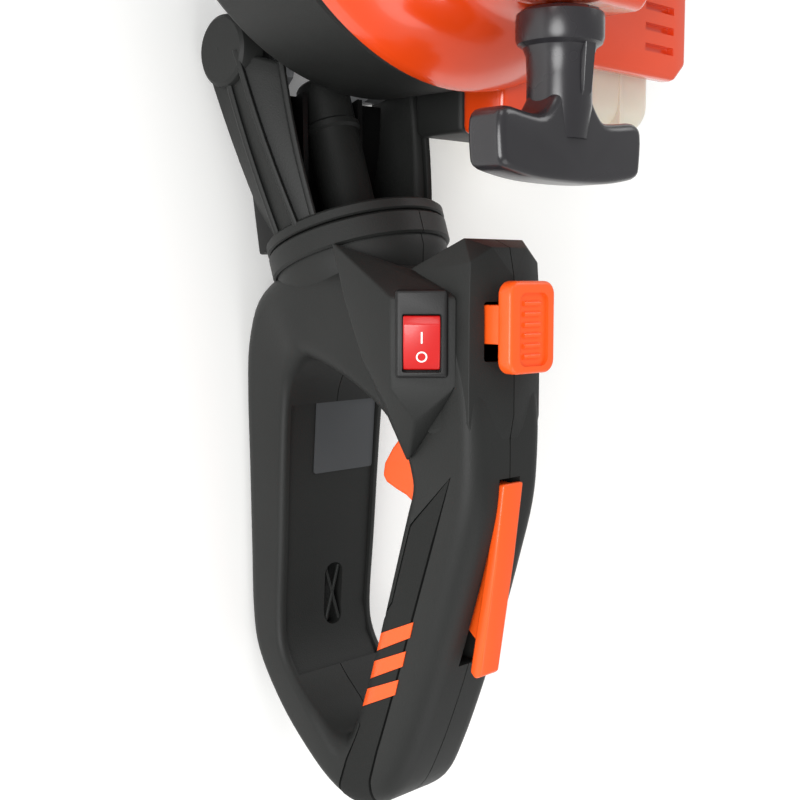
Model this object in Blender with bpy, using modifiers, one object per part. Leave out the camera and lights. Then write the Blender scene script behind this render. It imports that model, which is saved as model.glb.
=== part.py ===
"""Petrol hedge trimmer with a turning rear handle.

The machine stands on the flat bottom of its gear case.  The blades point along +X, +Y is the
user's left and +Z is up.  Sizes are written in millimetres, measured from the centre of the
collar that the rear handle turns on, and place() moves them into the row's frame, whose
origin is the middle of the gear case's bottom face.
"""
import math

import bmesh
import bpy
from mathutils import Matrix, Vector

MM = 0.001
GAP = 0.3                      # clearance between touching pieces
COLLAR = Vector((-0.160, 0.0, 0.038))
FLOOR = -38.0                  # height of the gear case's bottom face

# Rear handle and its collar
COLLAR_TILT = math.radians(18.6)
COLLAR_RADIUS = 34.0
NECK_LENGTH = 15.0
SPIGOT_RADIUS = 21.0
SPIGOT_FLANGE_RADIUS = 26.0
SHELL_WALL = 3.0
PAD_DEPTH = 1.6

# Engine, all turned about the upright crank axis
CRANK_X = 150.0
HOUSING_RADIUS = 98.0
DRUM_RADIUS = 78.0
HOUSING_SPLIT_Z = 50.0
SHROUD_TOP_Z = 113.0
CYLINDER_Z = 33.0
FAN_BLADES = 6
HOUSING_WALL = 3.0

# Starter
PULLEY_RADIUS = 37.0
STARTER_Z = 95.0
ROPE_OUTLET_X = 76.0

# Drive
PINION_TEETH = 9
GEAR_TEETH = 36
GEAR_MODULE = 1.5
CAM_X = CRANK_X + GEAR_MODULE * (PINION_TEETH + GEAR_TEETH) / 2 + 0.25
ECCENTRIC_RADIUS = 14.0
ECCENTRIC_THROW = 8.0
YOKE_RADIUS = 36.5

# Cutter bar
BLADE_TIP_X = 822.0
BLADE_FIRST_TOOTH_X = 300.0
TOOTH_PITCH = 40.0
BLADE_THICK = 2.4
LOWER_BLADE_Z = -29.0
UPPER_BLADE_Z = -26.3
BAR_Z = -23.6


def place(x, y, z):
    """Turn millimetres from the collar's centre into metres in the row's frame."""
    return COLLAR + Vector((x, y, z)) * MM


# ---------------------------------------------------------------- collections and materials

def clear_scene():
    for obj in list(bpy.data.objects):
        bpy.data.objects.remove(obj, do_unlink=True)


def new_collection(name):
    group = bpy.data.collections.new(name)
    bpy.context.scene.collection.children.link(group)
    return group


clear_scene()
PARTS = new_collection("hedge_trimmer")
CUTTERS = new_collection("cutters")
MATERIALS = {}


def material(name, colour, roughness, metallic=0.0):
    made = bpy.data.materials.new(name)
    made.use_nodes = True
    shader = made.node_tree.nodes["Principled BSDF"]
    shader.inputs["Base Color"].default_value = (*colour, 1.0)
    shader.inputs["Roughness"].default_value = roughness
    shader.inputs["Metallic"].default_value = metallic
    MATERIALS[name] = made


material("charcoal", (0.020, 0.021, 0.022), 0.55)
material("black", (0.008, 0.008, 0.009), 0.6)
material("soft_grip", (0.016, 0.017, 0.017), 0.8)
material("orange", (0.90, 0.14, 0.02), 0.25)
material("red", (0.75, 0.02, 0.015), 0.3)
material("rubber", (0.012, 0.012, 0.012), 0.85)
material("steel", (0.45, 0.45, 0.46), 0.35, 1.0)
material("aluminium", (0.62, 0.62, 0.63), 0.45, 1.0)
material("tank", (0.78, 0.75, 0.68), 0.4)
material("ceramic", (0.85, 0.85, 0.82), 0.3)
material("foam", (0.10, 0.10, 0.10), 0.95)
material("rope", (0.55, 0.55, 0.52), 0.9)


# ---------------------------------------------------------------- modelling helpers

def add_object(name, mesh, colour, group=PARTS):
    obj = bpy.data.objects.new(name, mesh)
    group.objects.link(obj)
    if group is CUTTERS:
        obj.hide_render = True
        obj.display_type = "WIRE"
    else:
        mesh.materials.clear()
        mesh.materials.append(MATERIALS[colour])
    return obj


def mesh_of(build, name):
    """A mesh from a function that fills a bmesh."""
    work = bmesh.new()
    build(work)
    mesh = bpy.data.meshes.new(name)
    work.to_mesh(mesh)
    work.free()
    return mesh


def axis_frame(axis):
    """A rotation that turns +Z to the axis."""
    return Vector(axis).normalized().to_track_quat("Z", "Y").to_matrix().to_4x4()


def box(name, low, high, colour=None, group=PARTS, bevel=0.0):
    low_corner = place(*low)
    high_corner = place(*high)
    size = high_corner - low_corner

    def build(work):
        bmesh.ops.create_cube(work, size=1.0)
        bmesh.ops.scale(work, vec=size, verts=work.verts)
    obj = add_object(name, mesh_of(build, name), colour, group)
    obj.location = (low_corner + high_corner) / 2
    if bevel:
        round_edges(obj, bevel)
    return obj


def round_edges(obj, width, segments=2):
    mod = obj.modifiers.new("rounded edges", "BEVEL")
    mod.width = width * MM
    mod.segments = segments
    mod.limit_method = "ANGLE"
    mod.angle_limit = math.radians(40)
    return obj


def cylinder(name, radius, start, end, colour=None, group=PARTS, segments=32, top_radius=None):
    start_point = place(*start)
    end_point = place(*end)
    axis = end_point - start_point

    def build(work):
        bmesh.ops.create_cone(work, cap_ends=True, segments=segments, radius1=radius * MM,
                              radius2=(top_radius or radius) * MM, depth=axis.length)
    mesh = mesh_of(build, name)
    smooth(mesh)
    obj = add_object(name, mesh, colour, group)
    obj.matrix_world = Matrix.Translation((start_point + end_point) / 2) @ axis_frame(axis)
    return obj


def turned(name, profile, centre, axis=(0, 0, 1), colour=None, group=PARTS, steps=30):
    """Spin a closed profile of (radius, height) pairs about an axis with a Screw modifier.

    A closed profile runs down its outer side.  Points on the axis make a solid piece.
    """
    def build(work):
        points = [work.verts.new((r * MM, 0.0, z * MM)) for r, z in profile]
        for first, second in zip(points, points[1:]):
            work.edges.new((first, second))
        if min(r for r, z in (profile[0], profile[-1])) > 0:
            work.edges.new((points[-1], points[0]))
    mesh = mesh_of(build, name)
    obj = add_object(name, mesh, colour, group)
    obj.matrix_world = Matrix.Translation(place(*centre)) @ axis_frame(axis)
    mod = obj.modifiers.new("turned", "SCREW")
    mod.steps = steps
    mod.render_steps = steps
    mod.use_merge_vertices = True
    mod.merge_threshold = 0.00001
    made = bake(obj)
    smooth(made.data)
    return made


def smooth(mesh, degrees=35):
    mesh.shade_smooth()
    mesh.set_sharp_from_angle(angle=math.radians(degrees))


def bake(obj):
    """Replace an object's mesh and modifiers, or a curve, with the evaluated mesh, welded."""
    bpy.context.view_layer.update()
    graph = bpy.context.evaluated_depsgraph_get()
    mesh = bpy.data.meshes.new_from_object(obj.evaluated_get(graph))
    work = bmesh.new()
    work.from_mesh(mesh)
    bmesh.ops.remove_doubles(work, verts=work.verts, dist=0.00002)
    bmesh.ops.recalc_face_normals(work, faces=work.faces)
    work.to_mesh(mesh)
    work.free()
    matrix = obj.matrix_world.copy()
    name = obj.name
    group = obj.users_collection[0]
    colour = obj.data.materials[0].name if obj.data.materials else None
    bpy.data.objects.remove(obj, do_unlink=True)
    made = add_object(name, mesh, colour or "steel", group)
    made.name = name
    made.matrix_world = matrix
    return made


def prism(name, outline, low, high, plane="XY", colour=None, group=PARTS, holes=()):
    """A flat outline, with holes, in the XY or XZ plane, extruded from low to high."""
    curve = bpy.data.curves.new(name, "CURVE")
    curve.dimensions = "2D"
    curve.fill_mode = "BOTH"
    curve.extrude = abs(high - low) / 2 * MM
    for ring in (outline, *holes):
        spline = curve.splines.new("POLY")
        spline.points.add(len(ring) - 1)
        for point, (u, v) in zip(spline.points, ring):
            point.co = (u * MM, v * MM, 0.0, 1.0)
        spline.use_cyclic_u = True
    if colour and group is PARTS:
        curve.materials.append(MATERIALS[colour])
    obj = bpy.data.objects.new(name, curve)
    group.objects.link(obj)
    middle = (low + high) / 2
    if plane == "XY":
        obj.matrix_world = Matrix.Translation(place(0, 0, middle))
    else:
        turn = Matrix.Rotation(math.radians(90), 4, "X")
        obj.matrix_world = Matrix.Translation(place(0, middle, 0)) @ turn
    return bake(obj)


def tube(name, points, radius, colour, smooth_route=True, resolution=3, group=PARTS):
    """A round rod or pipe along points, as a bevelled curve made into a mesh."""
    curve = bpy.data.curves.new(name, "CURVE")
    curve.dimensions = "3D"
    curve.bevel_depth = radius * MM
    curve.bevel_resolution = resolution
    curve.use_fill_caps = True
    spline = curve.splines.new("POLY")
    route = rounded_route(points) if smooth_route else points
    spline.points.add(len(route) - 1)
    for point, position in zip(spline.points, route):
        point.co = (*place(*position), 1.0)
    curve.materials.append(MATERIALS[colour])
    obj = bpy.data.objects.new(name, curve)
    group.objects.link(obj)
    made = bake(obj)
    smooth(made.data, 50)
    return made


def rounded_route(points, steps=3):
    """A Catmull-Rom curve through the points."""
    ends = [Vector(p) for p in points]
    ends = [ends[0] * 2 - ends[1]] + ends + [ends[-1] * 2 - ends[-2]]
    route = []
    for a, b, c, d in zip(ends, ends[1:], ends[2:], ends[3:]):
        for i in range(steps):
            t = i / steps
            route.append(0.5 * ((2 * b) + (c - a) * t + (2 * a - 5 * b + 4 * c - d) * t * t
                                + (3 * b - a - 3 * c + d) * t ** 3))
    route.append(Vector(points[-1]))
    return route


def loft(name, sections, colour=None, group=PARTS, closed=True):
    """Join rings of equal length into one skin.  The sections are unlike each other."""
    def build(work):
        rings = [[work.verts.new(place(*p)) for p in ring] for ring in sections]
        pairs = list(zip(rings, rings[1:]))
        if closed:
            pairs.append((rings[-1], rings[0]))
        for near, far in pairs:
            for i in range(len(near)):
                j = (i + 1) % len(near)
                work.faces.new((near[i], near[j], far[j], far[i]))
        if not closed:
            work.faces.new(rings[0])
            work.faces.new(rings[-1])
        bmesh.ops.recalc_face_normals(work, faces=work.faces)
    mesh = mesh_of(build, name)
    smooth(mesh, 40)
    return add_object(name, mesh, colour, group)


def combine(obj, other, operation):
    """Cut with, or join to, a second solid, which becomes a wire guide in the cutters."""
    mod = obj.modifiers.new(operation.lower(), "BOOLEAN")
    mod.operation = operation
    mod.object = other
    if other.users_collection[0] is not CUTTERS:
        other.users_collection[0].objects.unlink(other)
        CUTTERS.objects.link(other)
        other.hide_render = True
        other.display_type = "WIRE"
    return obj


def cut(obj, *others):
    for other in others:
        combine(obj, other, "DIFFERENCE")
    return obj


def join(obj, *others):
    for other in others:
        combine(obj, other, "UNION")
    return obj


def copy_of(obj, name, group=CUTTERS, colour="steel"):
    """A second object with its own evaluated mesh."""
    bpy.context.view_layer.update()
    graph = bpy.context.evaluated_depsgraph_get()
    mesh = bpy.data.meshes.new_from_object(obj.evaluated_get(graph))
    made = add_object(name, mesh, colour, group)
    made.matrix_world = obj.matrix_world.copy()
    return made


def keep_side(obj, point, normal):
    """Cut an evaluated mesh at a plane and keep the side that the normal points to."""
    made = bake(obj)
    work = bmesh.new()
    work.from_mesh(made.data)
    work.transform(made.matrix_world)
    cut_plane = bmesh.ops.bisect_plane(work, geom=work.verts[:] + work.edges[:] + work.faces[:],
                                       plane_co=place(*point), plane_no=normal,
                                       clear_inner=True)
    rim = [e for e in cut_plane["geom_cut"] if isinstance(e, bmesh.types.BMEdge)]
    bmesh.ops.triangle_fill(work, edges=rim, use_beauty=True)
    bmesh.ops.recalc_face_normals(work, faces=work.faces)
    made.matrix_world = Matrix.Identity(4)
    work.to_mesh(made.data)
    work.free()
    smooth(made.data, 40)
    return made


def arc(centre, radius, start, stop, steps):
    """Points on a circle from one angle to another, in degrees."""
    points = []
    for i in range(steps + 1):
        angle = math.radians(start + (stop - start) * i / steps)
        points.append((centre[0] + radius * math.cos(angle),
                       centre[1] + radius * math.sin(angle)))
    return points


def rounded_box_outline(low, high, radius, steps=3):
    x0, y0 = low
    x1, y1 = high
    return (arc((x1 - radius, y1 - radius), radius, 0, 90, steps)
            + arc((x0 + radius, y1 - radius), radius, 90, 180, steps)
            + arc((x0 + radius, y0 + radius), radius, 180, 270, steps)
            + arc((x1 - radius, y0 + radius), radius, 270, 360, steps))


def collar_point(along, across, up):
    """A point given along the collar's axis, across it and at right angles to both."""
    x = along * math.cos(COLLAR_TILT) + up * math.sin(COLLAR_TILT)
    z = -along * math.sin(COLLAR_TILT) + up * math.cos(COLLAR_TILT)
    return (x, across, z)


COLLAR_AXIS = (math.cos(COLLAR_TILT), 0.0, -math.sin(COLLAR_TILT))


# ---------------------------------------------------------------- rear handle

# Each station of the D-shaped loop: inner point, outer point (x, z), half width, squareness.
HANDLE_STATIONS = [
    ((-44, 4), (-5, 8), 31, 2.6),
    ((-50, 20), (-4, 40), 30, 2.6),
    ((-62, 33), (0, 56), 27, 2.8),
    ((-72, 40), (-7, 68), 25, 3.0),
    ((-77, 42), (-26, 76), 23, 3.2),
    ((-82, 44), (-48, 79), 21, 3.2),
    ((-87, 44), (-70, 79), 20, 3.2),
    ((-96, 41), (-88, 76), 20, 3.2),
    ((-118, 35), (-112, 70), 20, 3.2),
    ((-141, 28), (-138, 62), 20, 3.2),
    ((-160, 22), (-164, 53), 20, 3.2),
    ((-176, 16), (-188, 43), 20, 3.2),
    ((-183, 13), (-205, 34), 21, 3.0),
    ((-185, 11), (-213, 21), 22, 3.0),
    ((-184, 8), (-206, 7), 24, 3.4),
    ((-177, 1), (-190, -8), 25, 4.0),
    ((-168, -9), (-176, -22), 25, 4.5),
    ((-158, -16), (-160, -34), 25, 5.0),
    ((-146, -18), (-144, FLOOR), 25, 5.0),
    ((-118, -16), (-118, FLOOR), 27, 5.0),
    ((-88, -14), (-86, FLOOR), 29, 5.0),
    ((-64, -12), (-58, FLOOR), 30, 5.0),
    ((-53, -9), (-38, -36), 30, 4.0),
    ((-47, -4), (-21, -28), 31, 3.2),
    ((-44, 0), (-9, -13), 31, 2.8),
]
RING_POINTS = 12


def superellipse(power):
    """Unit ring points, rounder at 2 and squarer as the power grows."""
    points = []
    for i in range(RING_POINTS):
        angle = 2 * math.pi * (i + 0.5) / RING_POINTS
        c = math.cos(angle)
        s = math.sin(angle)
        points.append((math.copysign(abs(c) ** (2 / power), c),
                       math.copysign(abs(s) ** (2 / power), s)))
    return points


def handle_ring(inner, outer, half_width, power, inset):
    """One cross-section of the loop, drawn in by an inset."""
    a = Vector(inner)
    b = Vector(outer)
    along = (b - a).normalized()
    half = (b - a).length / 2 - inset
    middle = (a + b) / 2
    ring = []
    for u, v in superellipse(power):
        flat = middle + along * (half * u)
        ring.append((flat.x, (half_width - inset) * v, flat.y))
    return ring


def handle_loop(name, inset, group=CUTTERS):
    rings = [handle_ring(*station, inset) for station in HANDLE_STATIONS]
    return loft(name, rings, "charcoal", group)


# Outline of the soft panel on each side of the grip, in the XZ plane.
PAD_OUTLINE = [(-84, 62), (-110, 54), (-140, 45), (-170, 35), (-196, 24), (-203, 14),
               (-196, 8), (-180, 21), (-160, 29), (-136, 37), (-112, 45), (-98, 50)]


def rear_handle():
    body = handle_loop("handle_body", 0.0)
    neck = turned("handle_neck", [(0, 0), (COLLAR_RADIUS, 0), (COLLAR_RADIUS, -NECK_LENGTH),
                                  (0, -NECK_LENGTH - 8)],
                  collar_point(-GAP, 0, 0), COLLAR_AXIS, group=CUTTERS)
    core = handle_loop("handle_core", SHELL_WALL)
    bore = turned("neck_bore", [(0, 1), (SPIGOT_RADIUS + GAP, 1), (SPIGOT_RADIUS + GAP, -5),
                                (SPIGOT_FLANGE_RADIUS + GAP, -5),
                                (SPIGOT_FLANGE_RADIUS + GAP, -13), (0, -13)],
                  collar_point(0, 0, 0), COLLAR_AXIS, group=CUTTERS)
    throat = turned("neck_throat", [(0, -12), (15, -12), (15, -40), (0, -40)],
                    collar_point(0, 0, 0), COLLAR_AXIS, group=CUTTERS)
    switch_block = switch_boss()
    trigger_slot = box("trigger_slot", (-101, -6.5, 26), (-70, 6.5, 60), group=CUTTERS)
    lever_slot = box("lever_slot", (-150, -5.6, 50), (-82, 5.6, 90), group=CUTTERS)
    lock_slot = box("lock_slot", (-42, -12.5, 60), (-22.2, 12.5, 90), group=CUTTERS)
    join(body, neck, switch_block)
    cut(body, core, bore, throat, switch_pocket(), trigger_slot, lever_slot, lock_slot)
    guard_window = prism("guard_window", rounded_box_outline((-137, -3.5), (-119, 3.5), 3.4),
                         -40, -10, group=CUTTERS)
    cut(body, guard_window)
    for side, name in ((1, "left"), (-1, "right")):
        whole = copy_of(body, "handle_shell_" + name, PARTS, "charcoal")
        half = keep_side(whole, (0, side * GAP / 2, 0), (0, side, 0))
        half.name = "handle_shell_" + name
        grip_pad(half, name, side)


def grip_pad(shell, name, side):
    """The soft panel let into one side of the grip, and its recess."""
    y_range = (12, 30) if side > 0 else (-30, -12)
    shallow = handle_loop("pad_back_" + name, PAD_DEPTH)
    recess = prism("pad_recess_" + name, PAD_OUTLINE, *y_range, plane="XZ", group=CUTTERS)
    cut(recess, shallow)
    cut(shell, bake(recess))
    pad = handle_loop("grip_pad_" + name, 0.0, PARTS)
    small = shrink_outline(PAD_OUTLINE, GAP)
    panel = prism("pad_panel_" + name, small, *y_range, plane="XZ", group=CUTTERS)
    back = handle_loop("pad_fit_" + name, PAD_DEPTH - GAP)
    combine(pad, panel, "INTERSECT")
    cut(pad, back)
    pad.data.materials.clear()
    pad.data.materials.append(MATERIALS["soft_grip"])


def shrink_outline(outline, distance):
    """Move each corner of an outline inward by a distance."""
    count = len(outline)
    area = sum(outline[i][0] * outline[(i + 1) % count][1]
               - outline[(i + 1) % count][0] * outline[i][1] for i in range(count))
    turn = 1 if area > 0 else -1
    moved = []
    for i in range(count):
        before = (Vector(outline[i]) - Vector(outline[i - 1])).normalized()
        after = (Vector(outline[(i + 1) % count]) - Vector(outline[i])).normalized()
        normal_a = Vector((-before.y, before.x)) * turn
        normal_b = Vector((-after.y, after.x)) * turn
        bisector = (normal_a + normal_b).normalized()
        moved.append(tuple(Vector(outline[i]) + bisector * distance
                           / max(0.3, bisector.dot(normal_a))))
    return moved


# The stop switch looks up and to the left at 45 degrees.
SWITCH_CENTRE = Vector((-35.5, 27.0, 60.0))
SWITCH_NORMAL = Vector((0.0, 1.0, 1.0)).normalized()
SWITCH_UP = Vector((1.0, 0.0, 0.0))


def switch_block_box(name, half_length, half_width, low, high, colour=None, group=CUTTERS):
    """A box in the switch's own directions: length along X, depth along its normal."""
    side = SWITCH_NORMAL.cross(SWITCH_UP)
    turn = Matrix((SWITCH_UP, side, SWITCH_NORMAL)).transposed().to_4x4()

    def build(work):
        bmesh.ops.create_cube(work, size=1.0)
        bmesh.ops.scale(work, vec=Vector((2 * half_length, 2 * half_width, high - low)) * MM,
                        verts=work.verts)
    obj = add_object(name, mesh_of(build, name), colour, group)
    middle = SWITCH_CENTRE + SWITCH_NORMAL * (low + high) / 2
    obj.matrix_world = Matrix.Translation(place(*middle)) @ turn
    return obj


def switch_boss():
    return switch_block_box("switch_boss", 15, 11, -16, 0)


def switch_pocket():
    return switch_block_box("switch_pocket", 10.8, 7.8, -18, 2)


def stop_switch():
    body = switch_block_box("stop_switch_housing", 10.5, 7.5, -15, -1.2, "black", PARTS)
    cut(body, switch_block_box("switch_well", 9.3, 6.2, -11, 3))
    side = SWITCH_NORMAL.cross(SWITCH_UP)
    turn = Matrix((SWITCH_UP, SWITCH_NORMAL, -side)).transposed().to_4x4()
    outline = arc((0, -5), 4.0, 200, 340, 5) + [(8.6, 1.6), (8.4, 4.4), (0.2, 0.4),
                                                (-8.4, 0.2), (-8.8, -2.4)]
    curve_obj = prism("stop_switch_rocker", outline, -5.8, 5.8, colour="red")
    centre = Matrix.Translation(place(*SWITCH_CENTRE))
    curve_obj.matrix_world = centre @ turn


def controls():
    """Trigger, palm lever and rotation lock, with their pins and springs."""
    trigger_outline = ([(-74, 47), (-72, 40), (-71, 31), (-76, 25)] + [(-82, 20), (-87, 19)]
                       + [(-91, 25), (-95, 32), (-97, 38), (-92, 47), (-86, 52), (-78, 53)])
    trigger = prism("throttle_trigger", trigger_outline, -5.6, 5.6, "XZ", "orange")
    cut(trigger, cylinder("trigger_bore", 2.3, (-79, -9, 49), (-79, 9, 49), group=CUTTERS,
                          segments=16))
    cylinder("trigger_pin", 2.0, (-79, -8.5, 49), (-79, 8.5, 49), "steel", segments=16)
    spring("trigger_spring", (-90.5, 0, 52.5), (-92.5, 0, 59.5), 2.4, 0.5, 3.5)
    lever = prism("throttle_lockout",
                  [(-84.5, 77.5), (-152, 67.2), (-153.5, 64.6), (-151.5, 62.6), (-141, 63.8),
                   (-134, 58), (-118, 58.5), (-104, 63), (-92, 66), (-86, 66), (-83, 70)],
                  -2.9, 2.9, "XZ", "orange")
    cap = prism("lockout_cap", [(-83.5, 77.9), (-152.5, 67.5), (-154, 64.9), (-152, 62.4),
                                (-84, 74.6)], -5.2, 5.2, "XZ", group=CUTTERS)
    join(lever, cap)
    cut(lever, cylinder("lockout_bore", 1.8, (-89, -9, 69.5), (-89, 9, 69.5), group=CUTTERS,
                        segments=16))
    cylinder("lockout_pin", 1.5, (-89, -8.5, 69.5), (-89, 8.5, 69.5), "steel", segments=16)
    lock = box("rotation_lock", (-36, -11.5, 70), (-23, 11.5, 80), "orange")
    pad = prism("lock_pad", rounded_box_outline((-46, -12), (-15, 12), 5), 79.5, 85.5,
                group=CUTTERS)
    foot = box("lock_foot", (-34, -7, 62), (-25, 7, 71), group=CUTTERS)
    join(lock, pad, foot)
    spring("lock_spring", (-35.5, 0, 57.5), (-44, 0, 57.5), 2.6, 0.5, 3.5)


def spring(name, start, end, radius, wire, turns):
    """A coil spring as one round wire along a helix between two points."""
    first = Vector(start)
    axis = Vector(end) - first
    frame = axis_frame(axis).to_3x3()
    count = int(turns * 8)
    points = []
    for i in range(count + 1):
        angle = 2 * math.pi * turns * i / count
        offset = frame @ Vector((radius * math.cos(angle), radius * math.sin(angle), 0))
        points.append(first + axis * (i / count) + offset)
    return tube(name, points, wire, "steel", smooth_route=False, resolution=0)


# ---------------------------------------------------------------- swivel bracket

BOSS_CENTRE = (67.0, -22.0)     # x and z of the two bolts of the fork
BOSS_RADIUS = 13.0
BUFFER_RADIUS = 9.0
ARM_INNER_Y = 37.0
ARM_OUTER_Y = 45.0
LUG_INNER_Y = 21.0
LUG_OUTER_Y = 29.0
RING_THICKNESS = 4.5


def swivel_bracket():
    ring = turned("swivel_bracket",
                  [(6, 62), (10, 62), (10, RING_THICKNESS), (COLLAR_RADIUS, RING_THICKNESS),
                   (COLLAR_RADIUS, GAP), (SPIGOT_RADIUS, GAP), (SPIGOT_RADIUS, -5.5),
                   (SPIGOT_FLANGE_RADIUS, -5.5), (SPIGOT_FLANGE_RADIUS, -11), (6, -11)],
                  collar_point(0, 0, 0), COLLAR_AXIS, "charcoal", steps=24)
    for side in (1, -1):
        join(ring, fork_arm(side))
    bx, bz = BOSS_CENTRE
    for side in (1, -1):
        bore = cylinder("boss_bore", 4.4, (bx, side * 30, bz),
                        (bx, side * (ARM_OUTER_Y - 1), bz), group=CUTTERS, segments=18)
        room = cylinder("buffer_room", BUFFER_RADIUS + 1, (bx, side * 26, bz),
                        (bx, side * ARM_INNER_Y, bz), group=CUTTERS, segments=18)
        cut(ring, bore, room)


def fork_arm(side):
    """One arm of the fork, from the collar ring out to its round bolt boss."""
    bx, bz = BOSS_CENTRE
    root = [collar_point(2.2, side * y, up) for y, up in
            ((20.0, -24.0), (30.5, -7.0), (30.8, 5.0), (25.0, 18.0), (18.0, 14.0), (15.0, -18.0))]
    tip = [(bx - 7, side * ARM_OUTER_Y, bz - 9.5), (bx + 1, side * ARM_OUTER_Y, bz - 1),
           (bx - 1, side * ARM_OUTER_Y, bz + 10), (bx - 1, side * (ARM_INNER_Y + 0.6), bz + 10),
           (bx - 3, side * (ARM_INNER_Y + 0.6), bz), (bx - 7, side * (ARM_INNER_Y + 0.6), bz - 9.5)]
    middle = []
    for a, b in zip(root, tip):
        mid = Vector(a).lerp(Vector(b), 0.5)
        mid.y += side * 1.0
        middle.append(tuple(mid))
    arm = loft("fork_arm", [root, middle, tip], group=CUTTERS, closed=False)
    boss = cylinder("fork_boss", BOSS_RADIUS, (bx, side * ARM_INNER_Y, bz),
                    (bx, side * (ARM_OUTER_Y + 1), bz), group=CUTTERS, segments=24)
    return bake(join(arm, boss))


def fork_mounts():
    """Rubber buffers, and the screws that run from inside the lugs into the fork's bosses."""
    bx, bz = BOSS_CENTRE
    for side, name in ((1, "left"), (-1, "right")):
        turn = (0, side, 0)
        turned("buffer_" + name,
               [(BUFFER_RADIUS, ARM_INNER_Y - GAP), (BUFFER_RADIUS, LUG_OUTER_Y + GAP),
                (4.4, LUG_OUTER_Y + GAP), (4.4, ARM_INNER_Y - GAP)],
               (bx, 0, bz), turn, "rubber", steps=18)
        turned("fork_bolt_" + name,
               [(0, ARM_OUTER_Y - 2), (4, ARM_OUTER_Y - 2), (4, LUG_INNER_Y - GAP),
                (7, LUG_INNER_Y - GAP), (7, LUG_INNER_Y - 5), (0, LUG_INNER_Y - 5)],
               (bx, 0, bz), turn, "steel", steps=16)


# ---------------------------------------------------------------- gear case and drive

def gear_case():
    outline = (arc((216, 46), 16, 0, 90, 4) + arc((108, 46), 16, 90, 180, 4)
               + arc((108, -46), 16, 180, 270, 4) + arc((216, -46), 16, 270, 360, 4))
    case = prism("gear_case", outline, FLOOR, -16, colour="aluminium")
    nose = prism("case_nose", rounded_box_outline((222, -24), (262, 24), 5), FLOOR, -31,
                 group=CUTTERS)
    hollow = prism("case_hollow", shrink_outline(outline, 4), -34, -10, group=CUTTERS)
    mouth = box("case_mouth", (224, -19, -30.2), (240, 19, -10), group=CUTTERS)
    join(case, nose)
    for side in (1, -1):
        lug = prism("case_lug", rounded_box_outline((55, -34), (100, -10.4), 8),
                    side * LUG_INNER_Y, side * LUG_OUTER_Y, plane="XZ", group=CUTTERS)
        join(case, lug)
    cut(case, hollow, mouth)
    for side in (1, -1):
        cut(case, cylinder("lug_bore", 4.4, (BOSS_CENTRE[0], side * 15, BOSS_CENTRE[1]),
                           (BOSS_CENTRE[0], side * 34, BOSS_CENTRE[1]), group=CUTTERS,
                           segments=24))
    cover = prism("gear_case_cover", outline, -16 + GAP, -11, colour="aluminium")
    cut(cover, box("lug_room", (50, -32, -20), (100.8, 32, -5), group=CUTTERS))
    clamp = prism("bar_clamp", rounded_box_outline((222, -24), (262, 24), 5),
                  BAR_Z + 5 + GAP, -8, group=CUTTERS)
    clamp_relief = box("clamp_relief", (200, -30, -20), (232.3, 30, -16 + GAP), group=CUTTERS)
    cut(clamp, clamp_relief)
    join(cover, bake(clamp))
    cut(cover, cylinder("cover_bore", 9, (CRANK_X, 0, -20), (CRANK_X, 0, -5), group=CUTTERS,
                        segments=28))
    turned("cam_shaft", [(0, -16.2), (4.5, -16.2), (4.5, -33.7), (0, -33.7)],
           (CAM_X, 0, 0), colour="steel", steps=20)


def gear_outline(teeth, module, tip, root):
    """Tooth flanks as four points a tooth."""
    pitch_radius = teeth * module / 2
    points = []
    for i in range(teeth):
        base = 360 * i / teeth
        step = 360 / teeth
        for share, radius in ((-0.34, root), (-0.13, tip), (0.13, tip), (0.34, root)):
            angle = math.radians(base + share * step)
            reach = pitch_radius + radius
            points.append((reach * math.cos(angle), reach * math.sin(angle)))
    return points


def cam_drive():
    """Cam gear with its two eccentrics, and the clutch drum whose pinion turns it."""
    half_pitch = 0.5 * 2 * math.pi / GEAR_TEETH
    gear_points = []
    for u, v in gear_outline(GEAR_TEETH, GEAR_MODULE, 0.84, -1.3):
        turn = math.pi + half_pitch
        gear_points.append((CAM_X + u * math.cos(turn) - v * math.sin(turn),
                            u * math.sin(turn) + v * math.cos(turn)))
    gear = prism("cam_gear", gear_points, -22.3, -17.3, colour="steel")
    upper = cylinder("upper_eccentric", ECCENTRIC_RADIUS, (CAM_X + ECCENTRIC_THROW, 0, -26.4),
                     (CAM_X + ECCENTRIC_THROW, 0, -22.2), group=CUTTERS, segments=20)
    lower = cylinder("lower_eccentric", ECCENTRIC_RADIUS, (CAM_X - ECCENTRIC_THROW, 0, -29.2),
                     (CAM_X - ECCENTRIC_THROW, 0, -26.3), group=CUTTERS, segments=20)
    join(gear, upper, lower)
    cut(gear, cylinder("cam_bore", 4.8, (CAM_X, 0, -36), (CAM_X, 0, -10), group=CUTTERS,
                       segments=20))
    pinion_points = [(CRANK_X + u, v) for u, v in
                     gear_outline(PINION_TEETH, GEAR_MODULE, 0.84, -1.3)]
    drum = turned("clutch_drum", [(28, 9), (28, -9), (4.6, -9), (4.6, -23.5), (0, -23.5),
                                  (0, -6.5), (25.5, -6.5), (25.5, 9)],
                  (CRANK_X, 0, 0), colour="steel", steps=20)
    join(drum, prism("pinion", pinion_points, -22.3, -16.9, group=CUTTERS))
    turned("clutch_rotor", [(24.5, 7), (24.5, -5.5), (5.3, -5.5), (5.3, 7)],
           (CRANK_X, 0, 0), colour="steel", steps=30)
    turned("clutch_housing", [(36, 13.5), (36, -10.6), (31, -10.6), (31, 10.5), (9, 10.5),
                              (9, 13.5)], (CRANK_X, 0, 0), colour="aluminium", steps=24)


# ---------------------------------------------------------------- cutter bar

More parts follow.
